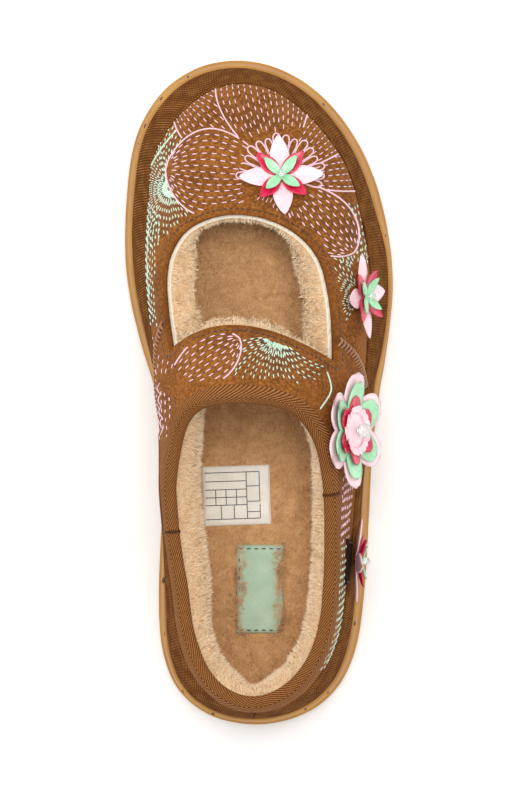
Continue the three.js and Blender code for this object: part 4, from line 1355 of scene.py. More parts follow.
@dataclass(frozen=True)
class Insole:
    """The fleece insole, with the twill patch and the size label on it."""

    last: Last
    rows: int = 190
    columns: int = 64

    def height(self, plan: Array) -> Array:
        """The insole's height at points seen from above, without its pile."""
        return self.last.sole_height("feather", plan[..., 1]) + self.last.insole

    def fleece(self) -> tuple[Array, Array]:
        """Makes the insole's fleece.

        Returns:
            Its points and triangles, which hairs grow on.
        """
        last = self.last
        station = np.linspace(0.015, 0.985, self.rows)
        edge = [last.upper_plan.inset(station, np.full(self.rows, side), np.full(self.rows, 3.0)) for side in (-1, 1)]
        share = np.linspace(0.0, 1.0, self.columns)[None, :, None]
        plan = edge[0][:, None] * (1 - share) + edge[1][:, None] * share
        z = self.height(plan)
        points = np.concatenate([plan, z[..., None]], axis=-1).reshape(-1, 3)
        pile = 0.5 * lumps(points, 3.2, 4.0) + 0.35 * lumps(points, 1.6, 6.0) + 0.5 * lumps(points, 12.0, 7.0)
        side = np.abs(np.linspace(-1, 1, self.columns))
        lift = 2.2 * smooth_step((side - 0.72) / 0.28)
        points[:, 2] += pile * 0.8 + np.tile(lift, self.rows) - 0.4
        quads = grid_faces(self.rows, self.columns)
        piece = mesh_object("insole_fleece", points, quads)
        finish = Fleece("insole fleece", base=(214, 168, 116), dark=(184, 136, 86), light=(236, 200, 152))
        settle(piece, "fleece", finish.material(), "insole")
        return points, triangles(quads)

    def shown(self, points: Array) -> Array:
        """How densely hairs stand on the insole: only where an opening shows it, and not on what lies on it."""
        wide = np.abs(points[:, 0] + 2.0) < 34.0
        seen = (points[:, 1] > -112.0) & (points[:, 1] < 72.0) & wide
        bridge = (points[:, 1] > 2.0) & (points[:, 1] < 20.0)
        free = np.ones(len(points), bool)
        for plate in (PATCH, LABEL):
            off = np.abs(points[:, :2] - self.last.plan(*plate.middle)) + 1.2 * lumps(points, 5.0, 31.0)[:, None]
            free &= (off[:, 0] > plate.bare[0] / 2.0) | (off[:, 1] > plate.bare[1] / 2.0)
        return (seen & ~bridge & free) + 1e-4

    def fringe(self, points: Array) -> Array:
        """How densely long hairs creep over the patch's sides."""
        off = np.abs(points[:, :2] - self.last.plan(*PATCH.middle))
        gap = off[:, 0] - 8.2 + lumps(points, 6.0, 8.0)
        return (np.abs(gap) < 1.5) * (off[:, 1] < 17.5) + 1e-6

    def creep(self, points: Array) -> Array:
        """The way those hairs lean: onto the patch."""
        inwards = (self.last.plan(*PATCH.middle) - points[:, :2]) / 16.0
        return np.concatenate([inwards * [1.0, 0.2], np.zeros((len(points), 1))], axis=1)

    def flow(self, points: Array) -> Array:
        """The way the insole's hairs lean: brushed to the heel, and parted here and there."""
        sway = lumps(points, 17.0, 21.0)
        return np.stack([sway * 1.2, -0.6 - 0.4 * np.abs(sway), np.zeros(len(points))], axis=1)

    def laid(self, plate: Plate, piece: str, slot: str, node: str, cloth: Material,
             bite: Callable[[Array], Array] = lambda lay: np.zeros(len(lay))) -> None:
        """Makes a thin cloth and lays it on the insole.

        Args:
            plate: The cloth.
            piece: The piece's name.
            slot: Its slot.
            node: The solid that it stands for.
            cloth: Its finish.
            bite: How far its sides are drawn in, from the cloth's own width and length.
        """
        nx, ny = 26, 40
        width, length = plate.size
        u, v = np.meshgrid(np.linspace(-0.5, 0.5, nx), np.linspace(-0.5, 0.5, ny))
        lay = np.stack([u.ravel() * width, v.ravel() * length], axis=1)
        edge = np.minimum(width / 2 - np.abs(lay[:, 0]), length / 2 - np.abs(lay[:, 1]))
        points = self.on_plate(plate, lay, plate.lift * (0.4 + 0.6 * smooth_step(edge / 1.2)), False)
        skirt = points - [0.0, 0.0, plate.lift + 0.8]
        points, lay = np.vstack([points, skirt]), np.vstack([lay, lay])
        points[:, 0] -= np.sign(lay[:, 0]) * (np.abs(lay[:, 0]) / (width / 2)) ** 2 * bite(lay)
        faces = grid_faces(ny, nx).tolist() + rim_walls(ny, nx)
        made = settle(mesh_object(piece, points, faces, uv=lay), slot, cloth, node)

    def on_plate(self, plate: Plate, local: Array, lift: Array | float, level: bool = True) -> Array:
        """Points on a cloth's top, with its waves.

        Args:
            plate: The cloth.
            local: Points by the cloth's own width and length.
            lift: How high they stand over the insole.
            level: Whether the waves are read without the lift.

        Returns:
            Points as (x, y, z).
        """
        plan = np.asarray(local) @ turned(math.radians(plate.turn))[:2, :2] + self.last.plan(*plate.middle)
        points = np.c_[plan, self.height(plan) + lift]
        points[:, 2] += 0.35 * lumps(points - [0, 0, lift] if level else points, 11.0, float(len(plate.name)))
        return points

    def patch(self, cloth: Material, thread: Material) -> None:
        """The plain twill patch with its rows of running stitches."""
        self.laid(PATCH, "insole_patch_twill", "patch", "insole_patch", cloth, lambda lay: smooth_step(
            lay[:, 0] / 4.0) * (2.4 * np.exp(-((lay[:, 1] - 6.0) / 4.5) ** 2) + 2.0 * smooth_step(
                (-lay[:, 1] - 10.0) / 7.0)))
        rows = [((x, 15.6), (x + 1.5, 15.6)) for x in np.arange(-8.0, 7.5, 2.9)]
        rows += [((x, -15.8), (x + 1.5, -15.8)) for x in np.arange(-8.0, 7.5, 2.9)]
        rows += [((-8.0, y), (-8.0, y + 1.5)) for y in np.arange(3.5, 13.0, 3.4)]
        lines = []
        for start, end in rows:
            local = np.linspace(start, end, 4)
            lines.append(self.on_plate(PATCH, local, PATCH.lift) + [[0, 0, z] for z in (-.1, .22, .22, -.1)])
        settle(mesh_object("insole_patch_stitches", *tubes(lines, 0.24)), "patch", thread)

    def label(self, cloth: Material, ink: Material) -> None:
        """The size label, with its ruled boxes left empty."""
        self.laid(LABEL, "size_label_satin", "label", "size_label", cloth)
        rules = [((-12, 9), (9, 9)), ((-12, 5.6), (4, 5.6)), ((-12, 2.4), (4, 2.4)), ((-12, -0.6), (4, -0.6)),
                 ((-12, -3.6), (4, -3.6)), ((-12, -9), (9, -9)), ((9, 9), (9, -9)), ((4, 9), (4, -9)),
                 ((4, 3.5), (9, 3.5)), ((4, -2.4), (9, -2.4)), ((4, -6.4), (9, -6.4)), ((-8, 2.4), (-8, -3.6)),
                 ((-4, 2.4), (-4, -3.6)), ((0, 2.4), (0, -3.6)), ((-6, -3.6), (-6, -9)), ((-1, -3.6), (-1, -9))]
        points, faces, first = [], [], 0
        for start, end in rules:
            run = np.array(end, float) - start
            side = np.array([-run[1], run[0]]) / np.linalg.norm(run) * 0.17
            centre = np.linspace(start, end, 8)
            rows = np.stack([centre - side, centre + side], axis=1).reshape(-1, 2)
            points.append(self.on_plate(LABEL, rows, LABEL.lift + 0.03))
            faces.append(grid_faces(8, 2)[:, ::-1] + first)
            first += 16
        settle(mesh_object("size_label_rules", np.vstack(points), np.vstack(faces)), "label", ink)


# What is laid, sewn or grown on the face

def even(last: Last, places: Array, pitch: float) -> Array:
    """Places along a line on the face, spaced evenly over the face itself.

    Args:
        last: The form.
        places: The line.
        pitch: The distance from one place to the next.

    Returns:
        The new places.
    """
    along = arc_lengths(last.skin(places))
    count = max(2, int(round(along[-1] / pitch)) + 1)
    return read_along(np.linspace(0.0, along[-1], count), along, places)


@dataclass(frozen=True)
class CollarTape:
    """The herringbone tape that is folded over the collar's edge."""

    last: Last
    upper: Upper
    thickness: float = 0.9
    inner_drop: float = 3.0
    fold: float = 1.1
    count: int = 560
    joins: tuple[tuple[float, float], ...] = ((-1.0, -52.0), (1.0, -38.0))

    def build(self) -> Piece:
        """Makes the tape, with a butt join on each side."""
        last = self.last
        sheet = Patchwork.whole(self.upper.stations, self.upper.across // 2 * 2 + 1)
        gap = lambda place: last.collar_gap(last.skin(place))
        line = sheet.keep(gap).border(gap)
        along = arc_lengths(last.skin(line))
        length = np.linspace(0.0, along[-1], self.count)
        line = read_along(length, along, line)
        reach = last.tape_reach(last.skin(line))
        shares = np.linspace(0.0, 1.0, 11)
        rows = last.walk(line, last.collar_gap, shares, reach)
        edge, below = last.skin(line), last.skin(rows[1])
        up = unit(edge - below)
        up[0] = up[-1] = unit(up[0] + up[-1])
        normal = last.normal(line)
        normal[0] = normal[-1] = unit(normal[0] + normal[-1])
        inwards = edge - normal * (last.wall + 1.0)
        inner = last.walk(line, last.collar_gap, np.array([0.5, 1.0]), np.full(self.count, self.inner_drop))
        path = [
            last.skin(inner[1], last.wall + 0.3), last.skin(inner[0], last.wall + 0.95),
            inwards - up * 0.2, inwards + up * 0.55 + normal * 0.3, edge - normal * 1.2 + up * self.fold,
            edge - normal * 0.1 + up * 0.95, edge + normal * 0.7 + up * 0.45]
        for share, row in zip(shares, rows):
            face = last.skin(row)
            lift = last.step(face) + self.thickness * (1.0 - 0.25 * share) + 0.5 * math.sin(math.pi * share)
            path.append(face + last.normal(row) * lift[:, None])
        low = last.skin(rows[-1])
        path.append(low + last.normal(rows[-1]) * (last.step(low) + 0.3)[:, None] - up * 0.25)
        path.append(low + last.normal(rows[-1]) * (last.step(low) - 0.4)[:, None])
        grid = np.array(path)
        across = np.linalg.norm(np.diff(grid[:, :, :2], axis=0), axis=2).mean(axis=1)
        across = np.concatenate([[0.0], np.cumsum(across)])
        weave = Herringbone()
        across = (across[-1] - across) * (2.0 * weave.half_width / (across[-1] - across[2]))
        uv = np.stack([np.tile(length, len(path)), np.repeat(across, self.count)], axis=1)
        join = np.zeros(self.count)
        for side, y in self.joins:
            off = np.where(edge[:, 0] * side > 0, np.abs(edge[:, 1] - y), 99.0)
            join = np.maximum(join, np.exp(-((off / 0.55) ** 2)))
        grid -= normal[None] * (0.45 * join)[None, :, None]
        points = grid.reshape(-1, 3)
        points = points + np.tile(normal, (len(path), 1)) * (0.12 * lumps(points, 9.0, 11.0))[:, None]
        piece = mesh_object("collar_tape_weave", points, grid_faces(len(path), self.count), uv=uv, merge=0.02,
                            shades={"join": np.tile(join, len(path))})
        return settle(piece, "collar_tape", weave.material(), "collar_tape")


@dataclass(frozen=True)
class Sewing:
    """Raised stitches on a face."""

    last: Last
    shadow_lines: list[Array] = field(default_factory=list)
    off_throat: float = 3.6
    off_webbing: float = 3.4
    off_tape: float = 1.2

    def locate(self, plan: Array) -> tuple[Array, Array]:
        """Finds plan points on the face.

        Args:
            plan: Points as (x, y).

        Returns:
            Their places, and whether each of them lies on the face.
        """
        place = self.last.locate(plan)
        miss = np.linalg.norm(self.last.skin(place)[:, :2] - plan, axis=1)
        return place, miss < 0.3

    def clear(self, place: Array, seam: float = 2.2) -> Array:
        """Whether places lie clear of the throat, both tapes and the seam."""
        last = self.last
        face = last.skin(place)
        behind = (last.collar_gap(face) > last.tape_reach(face) + self.off_tape) | (face[:, 1] > 40.0)
        free = (last.throat_gap(face) > self.off_throat) & (last.rise(face) > self.off_webbing)
        return free & behind & (np.abs(last.seam_gap(face)) > seam)

    def runs(self, place: Array, held: Array, shortest: float) -> list[Array]:
        """Splits a line where it isn't held, and drops pieces that are too short."""
        held = held & (np.abs(np.diff(place[:, 1], prepend=place[0, 1])) < 0.12)
        marks = np.flatnonzero(np.diff(np.concatenate([[0], held.astype(int), [0]])))
        pieces = [place[a:b] for a, b in zip(marks[::2], marks[1::2]) if b - a > 1]
        return [p for p in pieces if arc_lengths(self.last.skin(p))[-1] > shortest]

    def on_plan(self, line: Array, shortest: float = 1.6,
                hidden: Callable[[Array], Array] | None = None) -> list[Array]:
        """The parts of a line seen from above that can be sewn on the face.

        Args:
            line: The line as (x, y).
            shortest: The shortest part that is kept.
            hidden: Whether points seen from above are covered by something else.

        Returns:
            Lines of places.
        """
        dense = resample(line, max(3, int(arc_lengths(line)[-1] / 0.7)))
        place, found = self.locate(dense)
        if hidden is not None:
            found &= ~hidden(dense)
        return self.runs(place, found & self.clear(place), shortest)

    def dashes(self, places: Array, stitch: float, gap: float, start: float = 0.0) -> list[Array]:
        """Cuts a line into running stitches.

        Args:
            places: The line.
            stitch: A stitch's length.
            gap: The gap between two stitches.
            start: Where the first stitch starts.

        Returns:
            Four places per stitch.
        """
        along = arc_lengths(self.last.skin(places))
        # Notes the line for the painted stitch shadows.
        self.shadow_lines.append(even(self.last, places, 1.4))
        out, reached = [], start
        while reached + stitch * 0.5 < along[-1]:
            goal = np.linspace(reached, min(reached + stitch, along[-1]), 4)
            out.append(read_along(goal, along, places))
            reached += stitch + gap
        return out

    def strands(self, lines: Sequence[Array], width: float, height: float, sink: float = 0.15,
                wrap: float = 0.0) -> tuple[Array, Array]:
        """Raised half-round strands along lines on the face.

        Args:
            lines: Lines of places.
            width: A strand's half width.
            height: Its height over the face.
            sink: How deep its edges lie under the face.
            wrap: How strongly its width waves, as a thread wrapped round does.

        Returns:
            Points and faces.
        """
        points, faces, first = [], [], 0
        profile = ((-1.0, -sink), (-0.72, 0.62), (0.0, 1.0), (0.72, 0.62), (1.0, -sink))
        for size in sorted({len(line) for line in lines}):
            block = np.array([line for line in lines if len(line) == size])
            flat = block.reshape(-1, 2)
            face, normal = self.last.skin(flat), self.last.normal(flat)
            face = (face + normal * self.last.step(face)[:, None]).reshape(*block.shape[:2], 3)
            normal = normal.reshape(face.shape)
            tangent = unit(np.gradient(face, axis=1))
            side = unit(np.cross(normal, tangent))
            t = np.linspace(0.0, 1.0, size)[None, :, None]
            wave = 1.0 + wrap * np.cos(np.arange(size)[None, :, None] * math.pi)
            ends = np.clip(np.minimum(t, 1 - t) * (size - 1), 0.0, 1.0)
            wide = width * (0.55 + 0.45 * ends) * wave
            tall = height * (-0.2 + 1.2 * ends) * wave
            ribs = [face + side * (wide * a) + normal * (tall * b if b > 0 else b) for a, b in profile]
            grid = np.stack(ribs, axis=2)
            quads = grid_faces(size, len(profile))[:, ::-1]
            for strand in grid.reshape(len(block), -1, 3):
                points.append(strand)
                faces.append(quads + first)
                first += len(strand)
        return np.vstack(points), np.vstack(faces)


@dataclass(frozen=True)
class PetalLoop:
    """One embroidered petal: its direction in degrees, its reach, its half width and its rays."""

    angle: float
    reach: float
    half: float
    rays: int

    def width(self, t: Array) -> Array:
        """The half width at a share of the reach."""
        return self.half * np.sin(np.pi * np.clip(t, 0, 1) ** 1.45) ** 0.6

    def covers(self, centre: tuple[float, float], plan: Array) -> Array:
        """Whether points seen from above lie inside the petal."""
        out, side = turned(math.radians(self.angle))[:2, :2]
        off = plan - np.array(centre)
        t = off @ out / self.reach
        return (t > 0.12) & (t < 1.0) & (np.abs(off @ side) < self.width(t) + 0.25)

    def place(self, centre: tuple[float, float], t: Array, s: Array) -> Array:
        """Points at a share of the reach and a share of the half width."""
        out, side = turned(math.radians(self.angle))[:2, :2]
        return np.array(centre) + np.outer(self.reach * t, out) + np.outer(s * self.width(t), side)

    def outline(self, centre: tuple[float, float]) -> Array:
        """The petal's rounded outline."""
        t = np.concatenate([np.linspace(0.3, 1, 40), np.linspace(1, 0.3, 40)[1:]])
        s = np.concatenate([np.ones(40), -np.ones(39)])
        return self.place(centre, t, s)


@dataclass(frozen=True)
class Burst:
    """A burst of rays seen from above: its middle, its angles, its reach and its number of rays."""

    centre: tuple[float, float]
    low: float
    high: float
    inner: float
    outer: float
    rays: int
    bend: float = 0.0

    def lines(self, seed: int) -> list[Array]:
        """The rays, of uneven length."""
        chance = np.random.default_rng(seed)
        out = []
        for angle in np.linspace(self.low, self.high, self.rays):
            reach = self.outer * chance.uniform(0.78, 1.0)
            t = np.linspace(0.0, 1.0, 12)
            a = np.radians(angle + self.bend * t**2)
            r = self.inner * chance.uniform(0.8, 1.25) + (reach - self.inner) * t
            out.append(np.array(self.centre) + polar(r, a))
        return out


@dataclass(frozen=True)
class Embroidery:
    """Flowers and bursts embroidered on the vamp, the strap and the quarters."""

    sewing: Sewing
    bloom: tuple[float, float] = (10.0, 82.5)
    petals: tuple[PetalLoop, ...] = (
        PetalLoop(176.0, 44.5, 17.0, 13), PetalLoop(102.0, 58.0, 18.0, 15), PetalLoop(-46.0, 40.0, 11.0, 9),
        PetalLoop(139.0, 54.0, 14.0, 11), PetalLoop(54.0, 45.0, 13.0, 10), PetalLoop(16.0, 43.0, 12.0, 9),
        PetalLoop(-112.0, 26.0, 9.0, 9))
    strap_bloom: tuple[float, float] = (-34.0, -1.0)
    strap_petals: tuple[PetalLoop, ...] = (PetalLoop(36.0, 36.0, 9.0, 8), PetalLoop(74.0, 24.0, 7.0, 6))
    crown: int = 15
    bold_pitch: float = 0.3
    bold_wrap: float = 0.22
    mint_bursts: tuple[Burst, ...] = (
        Burst((-32.5, 78.5), 100.0, 322.0, 2.0, 26.0, 38, 10.0),
        Burst((-32.5, 78.5), 60.0, 330.0, 1.0, 7.5, 26),
        Burst((-32.5, 78.5), 70.0, 112.0, 5.0, 48.0, 11, -38.0),
        Burst((40.0, 38.0), 112.0, 246.0, 4.0, 18.0, 21, -8.0),
        Burst((40.0, 46.0), 66.0, 150.0, 5.0, 30.0, 9, 12.0),
        Burst((9.0, 20.5), 182.0, 372.0, 3.0, 25.0, 30, 12.0),
        Burst((9.0, 20.5), 190.0, 366.0, 1.0, 8.0, 20))

    def station(self, y: Array) -> Array:
        """The stations of places along the upper."""
        last = self.sewing.last
        return np.arccos(1.0 - 2.0 * (y - last.upper_plan.heel) / last.upper_length) / math.pi

    def side_lines(self, side: float, low: float, high: float, ys: tuple[float, float], rows: int) -> list[Array]:
        """Lines along the side of the upper, between two heights.

        Args:
            side: -1 for the inner side, +1 for the outer one.
            low: The lowest line's share across.
            high: The highest line's share across.
            ys: Where the lines start and end.
            rows: How many lines there are.

        Returns:
            Lines of places.
        """
        station, out = self.station(np.linspace(*ys, 40)), []
        for i, across in enumerate(np.linspace(low, high, rows)):
            wave = 0.006 * np.sin(np.arange(40) * 0.55 + i)
            line = np.stack([station, side * (across + wave)], axis=1)
            free = self.sewing.clear(line) & ~self.covered(self.sewing.last.skin(line)[:, :2])
            out += self.sewing.runs(line, free, 2.0)
        return out

    def zigzag(self, side: float, across: tuple[float, float], ys: tuple[float, float], teeth: int) -> list[Array]:
        """A zigzag along the side of the upper.

        Args:
            side: -1 for the inner side, +1 for the outer one.
            across: The two shares across that it goes between.
            ys: Where it starts and ends.
            teeth: How many teeth it has.

        Returns:
            Lines of places.
        """
        shares = np.where(np.arange(teeth + 1) % 2 == 0, across[0], across[1])
        corners = np.stack([self.station(np.linspace(*ys, teeth + 1)), side * shares], axis=1)
        line = even(self.sewing.last, corners, 0.5)
        return self.sewing.runs(line, self.sewing.clear(line, 1.2), 1.5)

    def pink(self, material: Material) -> Piece:
        """The pink threads."""
        sew, bold, fine = self.sewing, [], []
        for centre, petals in ((self.bloom, self.petals), (self.strap_bloom, self.strap_petals)):
            for k, petal in enumerate(petals):
                hidden = lambda plan: np.any([front.covers(centre, plan) for front in petals[:k]], axis=0) if k else (
                    np.zeros(len(plan), bool))
                lines = sew.on_plan(petal.outline(centre), hidden=hidden)
                bold += [even(sew.last, line, self.bold_pitch) for line in lines]
                for i in range(petal.rays):
                    s = (i + 0.5) / petal.rays * 2.0 - 1.0
                    t = np.linspace(0.3 + 0.04 * (i % 2), 0.96, 24)
                    for line in sew.on_plan(petal.place(centre, t, np.full(24, s * 0.94)), 2.4, hidden):
                        fine += sew.dashes(line, 2.9, 0.9, 0.5 * (i % 3))
        for i in range(self.crown):
            angle = math.pi * (1.12 * i / self.crown - 0.06)
            a = angle + np.array([-0.08, -0.1, -0.07, 0.0, 0.07, 0.1, 0.08])
            r = np.array([9.0, 12.5, 15.0, 15.8, 15.0, 12.5, 9.0]) + (i % 3) * 0.7
            loop = np.array(self.bloom) + polar(r, a)
            bold += [even(sew.last, line, self.bold_pitch) for line in sew.on_plan(spline(loop, 6))]
        for band in ((-1.0, 0.8, 0.42, (-18.0, 22.0), 7), (1.0, 0.955, 0.82, (-60.0, -8.0), 7)):
            for i, line in enumerate(self.side_lines(*band)):
                fine += sew.dashes(line, 2.4, 0.9, 1.3 * (i * 2 % 5))
        fine += self.zigzag(-1.0, (0.76, 0.68), (-16.0, 4.0), 9)
        return self.sewn("pink", sew.strands(bold, 0.29, 0.44, wrap=self.bold_wrap), fine, material)

    def sewn(self, colour: str, bold: tuple[Array, Array], fine: list[Array], material: Material) -> Piece:
        """Makes one piece of all threads of a colour.

        Args:
            colour: Its name, which is the slot's too.
            bold: The points and faces of the bold threads.
            fine: The lines of the fine ones.
            material: Their finish.

        Returns:
            The piece.
        """
        (points, faces), (more, also) = bold, self.sewing.strands(fine, 0.2, 0.3)
        piece = mesh_object(
            f"embroidery_{colour}", np.vstack([points, more]), np.vstack([faces, also + len(points)]))
        return settle(piece, colour, material)

    def mint(self, material: Material) -> Piece:
        """The mint threads."""
        sew, bold, fine = self.sewing, [], []
        for k, burst in enumerate(self.mint_bursts):
            for ray in burst.lines(20 + k):
                for line in sew.on_plan(ray, 1.2, self.covered):
                    fine += sew.dashes(line, 2.2, 0.75)
        for band in ((-1.0, 0.86, 0.6, (26.0, 74.0), 8), (1.0, 0.84, 0.5, (50.0, 74.0), 6),
                     (1.0, 0.955, 0.72, (-106.0, -58.0), 9)):
            for i, line in enumerate(self.side_lines(*band)):
                fine += sew.dashes(line, 2.0, 0.8, 1.1 * (i * 2 % 5))
        fine += self.zigzag(-1.0, (0.8, 0.76), (36.0, 64.0), 7)
        for knots in (((-40.5, 88.0), (-35.0, 96.0), (-28.0, 103.5), (-19.0, 110.0)),
                      ((27.0, 8.0), (28.5, 1.0), (24.5, -6.0))):
            lines = sew.on_plan(spline(knots, 8), hidden=self.covered)
            bold += [even(sew.last, line, self.bold_pitch) for line in lines]
        return self.sewn("mint", sew.strands(bold, 0.28, 0.42, wrap=self.bold_wrap), fine, material)

    def shadow_lines(self, material: Material) -> Piece:
        """Painted shade: dark strands along the running stitches, standing in for the shadow in the holes and dents
        that the stitches pull into the suede.
        """
        points, faces = self.sewing.strands(self.sewing.shadow_lines, 0.2, 0.1)
        return settle(mesh_object("stitch_painted_shadows", points, faces), "suede", material)

    def covered(self, plan: Array) -> Array:
        """Whether points seen from above lie inside one of the embroidered petals."""
        both = ((self.bloom, self.petals), (self.strap_bloom, self.strap_petals))
        return np.any([petal.covers(centre, plan) for centre, petals in both for petal in petals], axis=0)


@dataclass(frozen=True)
class Topstitching:
    """The dark stitches round the throat and the whip stitches over the two seams."""

    sewing: Sewing
    upper: Upper
    edge_gap: float = 2.3

    def throat(self, material: Material) -> Piece:
        """The row of dark stitches just outside the throat."""
        last = self.sewing.last
        field_at = lambda place: last.throat_gap(last.skin(place)) - self.edge_gap
        ring = even(last, Patchwork.whole(150, 121).keep(field_at).border(field_at), 0.5)
        points, faces = self.sewing.strands(self.sewing.dashes(ring, 1.5, 0.75), 0.32, 0.3)
        return settle(mesh_object("throat_stitches", points, faces), "suede", material)

    def seam_line(self, side: float) -> Array:
        """The places along the seam on one side, from its top to its foot."""
        last = self.sewing.last
        s, a = np.meshgrid(np.linspace(0.42, 0.62, 160), side * np.linspace(0.06, 0.99, 90), indexing="ij")
        place = np.stack([s, a], axis=-1)
        gap = last.seam_gap(last.skin(place))
        line = []
        for j in range(gap.shape[1]):
            column = gap[:, j]
            k = np.flatnonzero((column[:-1] > 0) & (column[1:] <= 0))
            if len(k):
                i = k[0]
                t = column[i] / (column[i] - column[i + 1])
                line.append(place[i, j] * (1 - t) + place[i + 1, j] * t)
        line = np.array(line)
        face = last.skin(line)
        free = (last.throat_gap(face) > 1.0) & (last.rise(face) > 2.5)
        foot = np.flatnonzero(free)[-1] + 1
        top = np.flatnonzero(~free[:foot])
        return line[(top[-1] + 1 if len(top) else 0):foot]

    def whip(self, material: Material) -> Piece:
        """The loops sewn over both seams."""
        last, strands = self.sewing.last, []
        for side in (-1.0, 1.0):
            line = even(last, self.seam_line(side), 2.1)
            face = last.skin(line)
            along = unit(np.gradient(face, axis=0))
            normal = last.normal(line)
            across = unit(np.cross(normal, along))
            for i in range(len(line)):
                goal = [face[i] + across[i] * w + along[i] * 0.25 * w for w in (-2.1, -1.2, 0.0, 1.2, 2.1)]
                lift = (-0.3, 0.75, 1.35, 0.9, -0.3)
                strands.append(np.array([g + normal[i] * h for g, h in zip(goal, lift)]))
        return settle(mesh_object("seam_whip_stitches", *tubes(strands, 0.42)), "suede", material)


def tubes(lines: Sequence[Array], radius: float, sides: int = 6) -> tuple[Array, Array]:
    """Round threads along lines in space.

    Args:
        lines: Polylines.
        radius: The threads' radius.
        sides: How many sides a thread has.

    Returns:
        Points and faces.
    """
    points, faces, first = [], [], 0
    for line in lines:
        line = spline(line, 3)
        tangent = unit(np.gradient(line, axis=0))
        helper = np.where(np.abs(tangent[:, 2:3]) > 0.9, [[1.0, 0.0, 0.0]], [[0.0, 0.0, 1.0]])
        side = unit(np.cross(tangent, helper))
        other = np.cross(tangent, side)
        turn = np.linspace(0, 2 * math.pi, sides, endpoint=False)
        ring = side[:, None] * np.cos(turn)[None, :, None] + other[:, None] * np.sin(turn)[None, :, None]
        taper = np.clip(np.minimum(np.arange(len(line)), np.arange(len(line))[::-1]) + 0.4, 0, 1)[:, None, None]
        points.append((line[:, None] + ring * radius * taper).reshape(-1, 3))
        faces.append(grid_faces(len(line), sides, closed=True) + first)
        first += len(line) * sides
    return np.vstack(points), np.vstack(faces)


@dataclass(frozen=True)
class Pile:
    """Short curved hairs that stand on a fleece."""

    length: float = 2.2
    width: float = 0.17
    lean: float = 0.75
    seed: int = 7

    def grow(self, name: str, points: Array, faces: Array, wanted: Callable[[Array], Array], count: int,
             flow: Callable[[Array], Array], material: Material) -> Piece:
        """Grows hairs on some triangles.

        Args:
            name: The piece's name.
            points: The fleece's points.
            faces: Its triangles, facing out.
            wanted: How densely hairs stand at points, from 0 to 1.
            count: How many hairs are tried.
            flow: The direction in which hairs at points lean.
            material: Their finish.

        Returns:
            The hairs as one piece.
        """
        chance = np.random.default_rng(self.seed)
        a, b, c = (points[faces[:, k]] for k in range(3))
        square = np.cross(b - a, c - a)
        area = np.linalg.norm(square, axis=1) * wanted((a + b + c) / 3.0)
        pick = chance.choice(len(faces), count, p=area / area.sum())
        u, v = chance.random(count), chance.random(count)
        flip = u + v > 1.0
        u[flip], v[flip] = 1.0 - u[flip], 1.0 - v[flip]
        root = a[pick] + (b - a)[pick] * u[:, None] + (c - a)[pick] * v[:, None]
        normal = unit(square[pick])
        stray = chance.normal(0, 0.45, (count, 3))
        curl = np.stack([lumps(root, 5.0, k * 3.0 + 1.0) for k in range(3)], axis=1) * 1.3
        lean = flow(root) * self.lean + curl + stray
        grow = unit(normal + lean * 0.75)
        droop = unit(normal * 0.35 + lean)
        size = self.length * chance.uniform(0.55, 1.15, count)[:, None]
        side = unit(np.cross(grow, unit(chance.normal(0, 1, (count, 3))))) * self.width / 2.0
        middle = root + grow * size * 0.55
        tip = middle + droop * size * 0.5
        verts = np.stack([root - side - normal * 0.2, root + side - normal * 0.2, middle + side * 0.8,
                          middle - side * 0.8, tip], axis=1).reshape(-1, 3)
        first = np.arange(count)[:, None] * 5
        quads = (first + [0, 1, 2, 3]).tolist()
        tips = (first + [3, 2, 4]).tolist()
        shade = np.tile([0.0, 0.0, 0.55, 0.55, 1.0], count) * np.repeat(chance.uniform(0.6, 1.0, count), 5)
        piece = mesh_object(name, verts, quads + tips, shades={"tip": shade})
        return settle(piece, "fleece", material)


@dataclass(frozen=True)
class HeelTab:
    """The dark folded tab on the outer side of the heel."""

    last: Last
    x: float = 0.788
    at: float = 0.233
    length: float = 18.0
    height: float = 11.0
    thickness: float = 1.0

    def build(self, leather: Material, thread: Material) -> None:
        """Makes the tab and the stitches along its two ends."""
        last = self.last
        middle = last.locate(last.plan(self.x, self.at))
        by_station, by_across = last.slopes(middle[None])
        along = self.length / 2.0 / float(np.linalg.norm(by_station))
        down = self.height / 2.0 / float(np.linalg.norm(by_across))
        nx, ny = 28, 18
        u, v = np.meshgrid(np.linspace(-1, 1, nx), np.linspace(-1, 1, ny))
        place = middle + np.stack([u.ravel() * along, v.ravel() * down], axis=1)
        face, normal = last.skin(place), last.normal(place)
        near = np.minimum((1 - np.abs(u.ravel())) * self.length / 2, (1 - np.abs(v.ravel())) * self.height / 2)
        base = last.step(face) + last.clearance * 0.3
        tall = self.thickness * np.sqrt(np.clip(1 - (1 - np.clip(near / 0.9, 0, 1)) ** 2, 0, 1)) + 0.15
        tall = tall - 0.22 * np.exp(-(((near - 1.6) / 0.35) ** 2)) + 0.1 * lumps(face, 4.0, 6.0)
        top = face + normal * (base + tall)[:, None]
        under = face + normal * (base - 0.3)[:, None]
        faces = grid_faces(ny, nx).tolist() + rim_walls(ny, nx)
        lay = np.stack([u.ravel() * self.length / 2, v.ravel() * self.height / 2], axis=1)
        piece = mesh_object("heel_tab_leather", np.vstack([top, under]), faces, uv=np.vstack([lay, lay]))
        settle(piece, "badge", leather, "badge")
        threads = []
        for row in (-0.84, 0.84):
            for start in np.arange(-0.9, 0.86, 0.16):
                where = middle + np.array([[row * along, (start + 0.1 * t) * down] for t in (0.0, 0.5, 1.0)])
                spot, out = last.skin(where), last.normal(where)
                lift = np.array([0.7, 1.25, 0.7])[:, None] + last.step(spot)[:, None] + 0.1
                threads.append(spot + out * lift)
        settle(mesh_object("heel_tab_stitches", *tubes(threads, 0.18)), "badge", thread)


class FlowerKind(Enum):
    """The two kinds of flower."""

    STAR = "star"
    BLOSSOM = "blossom"


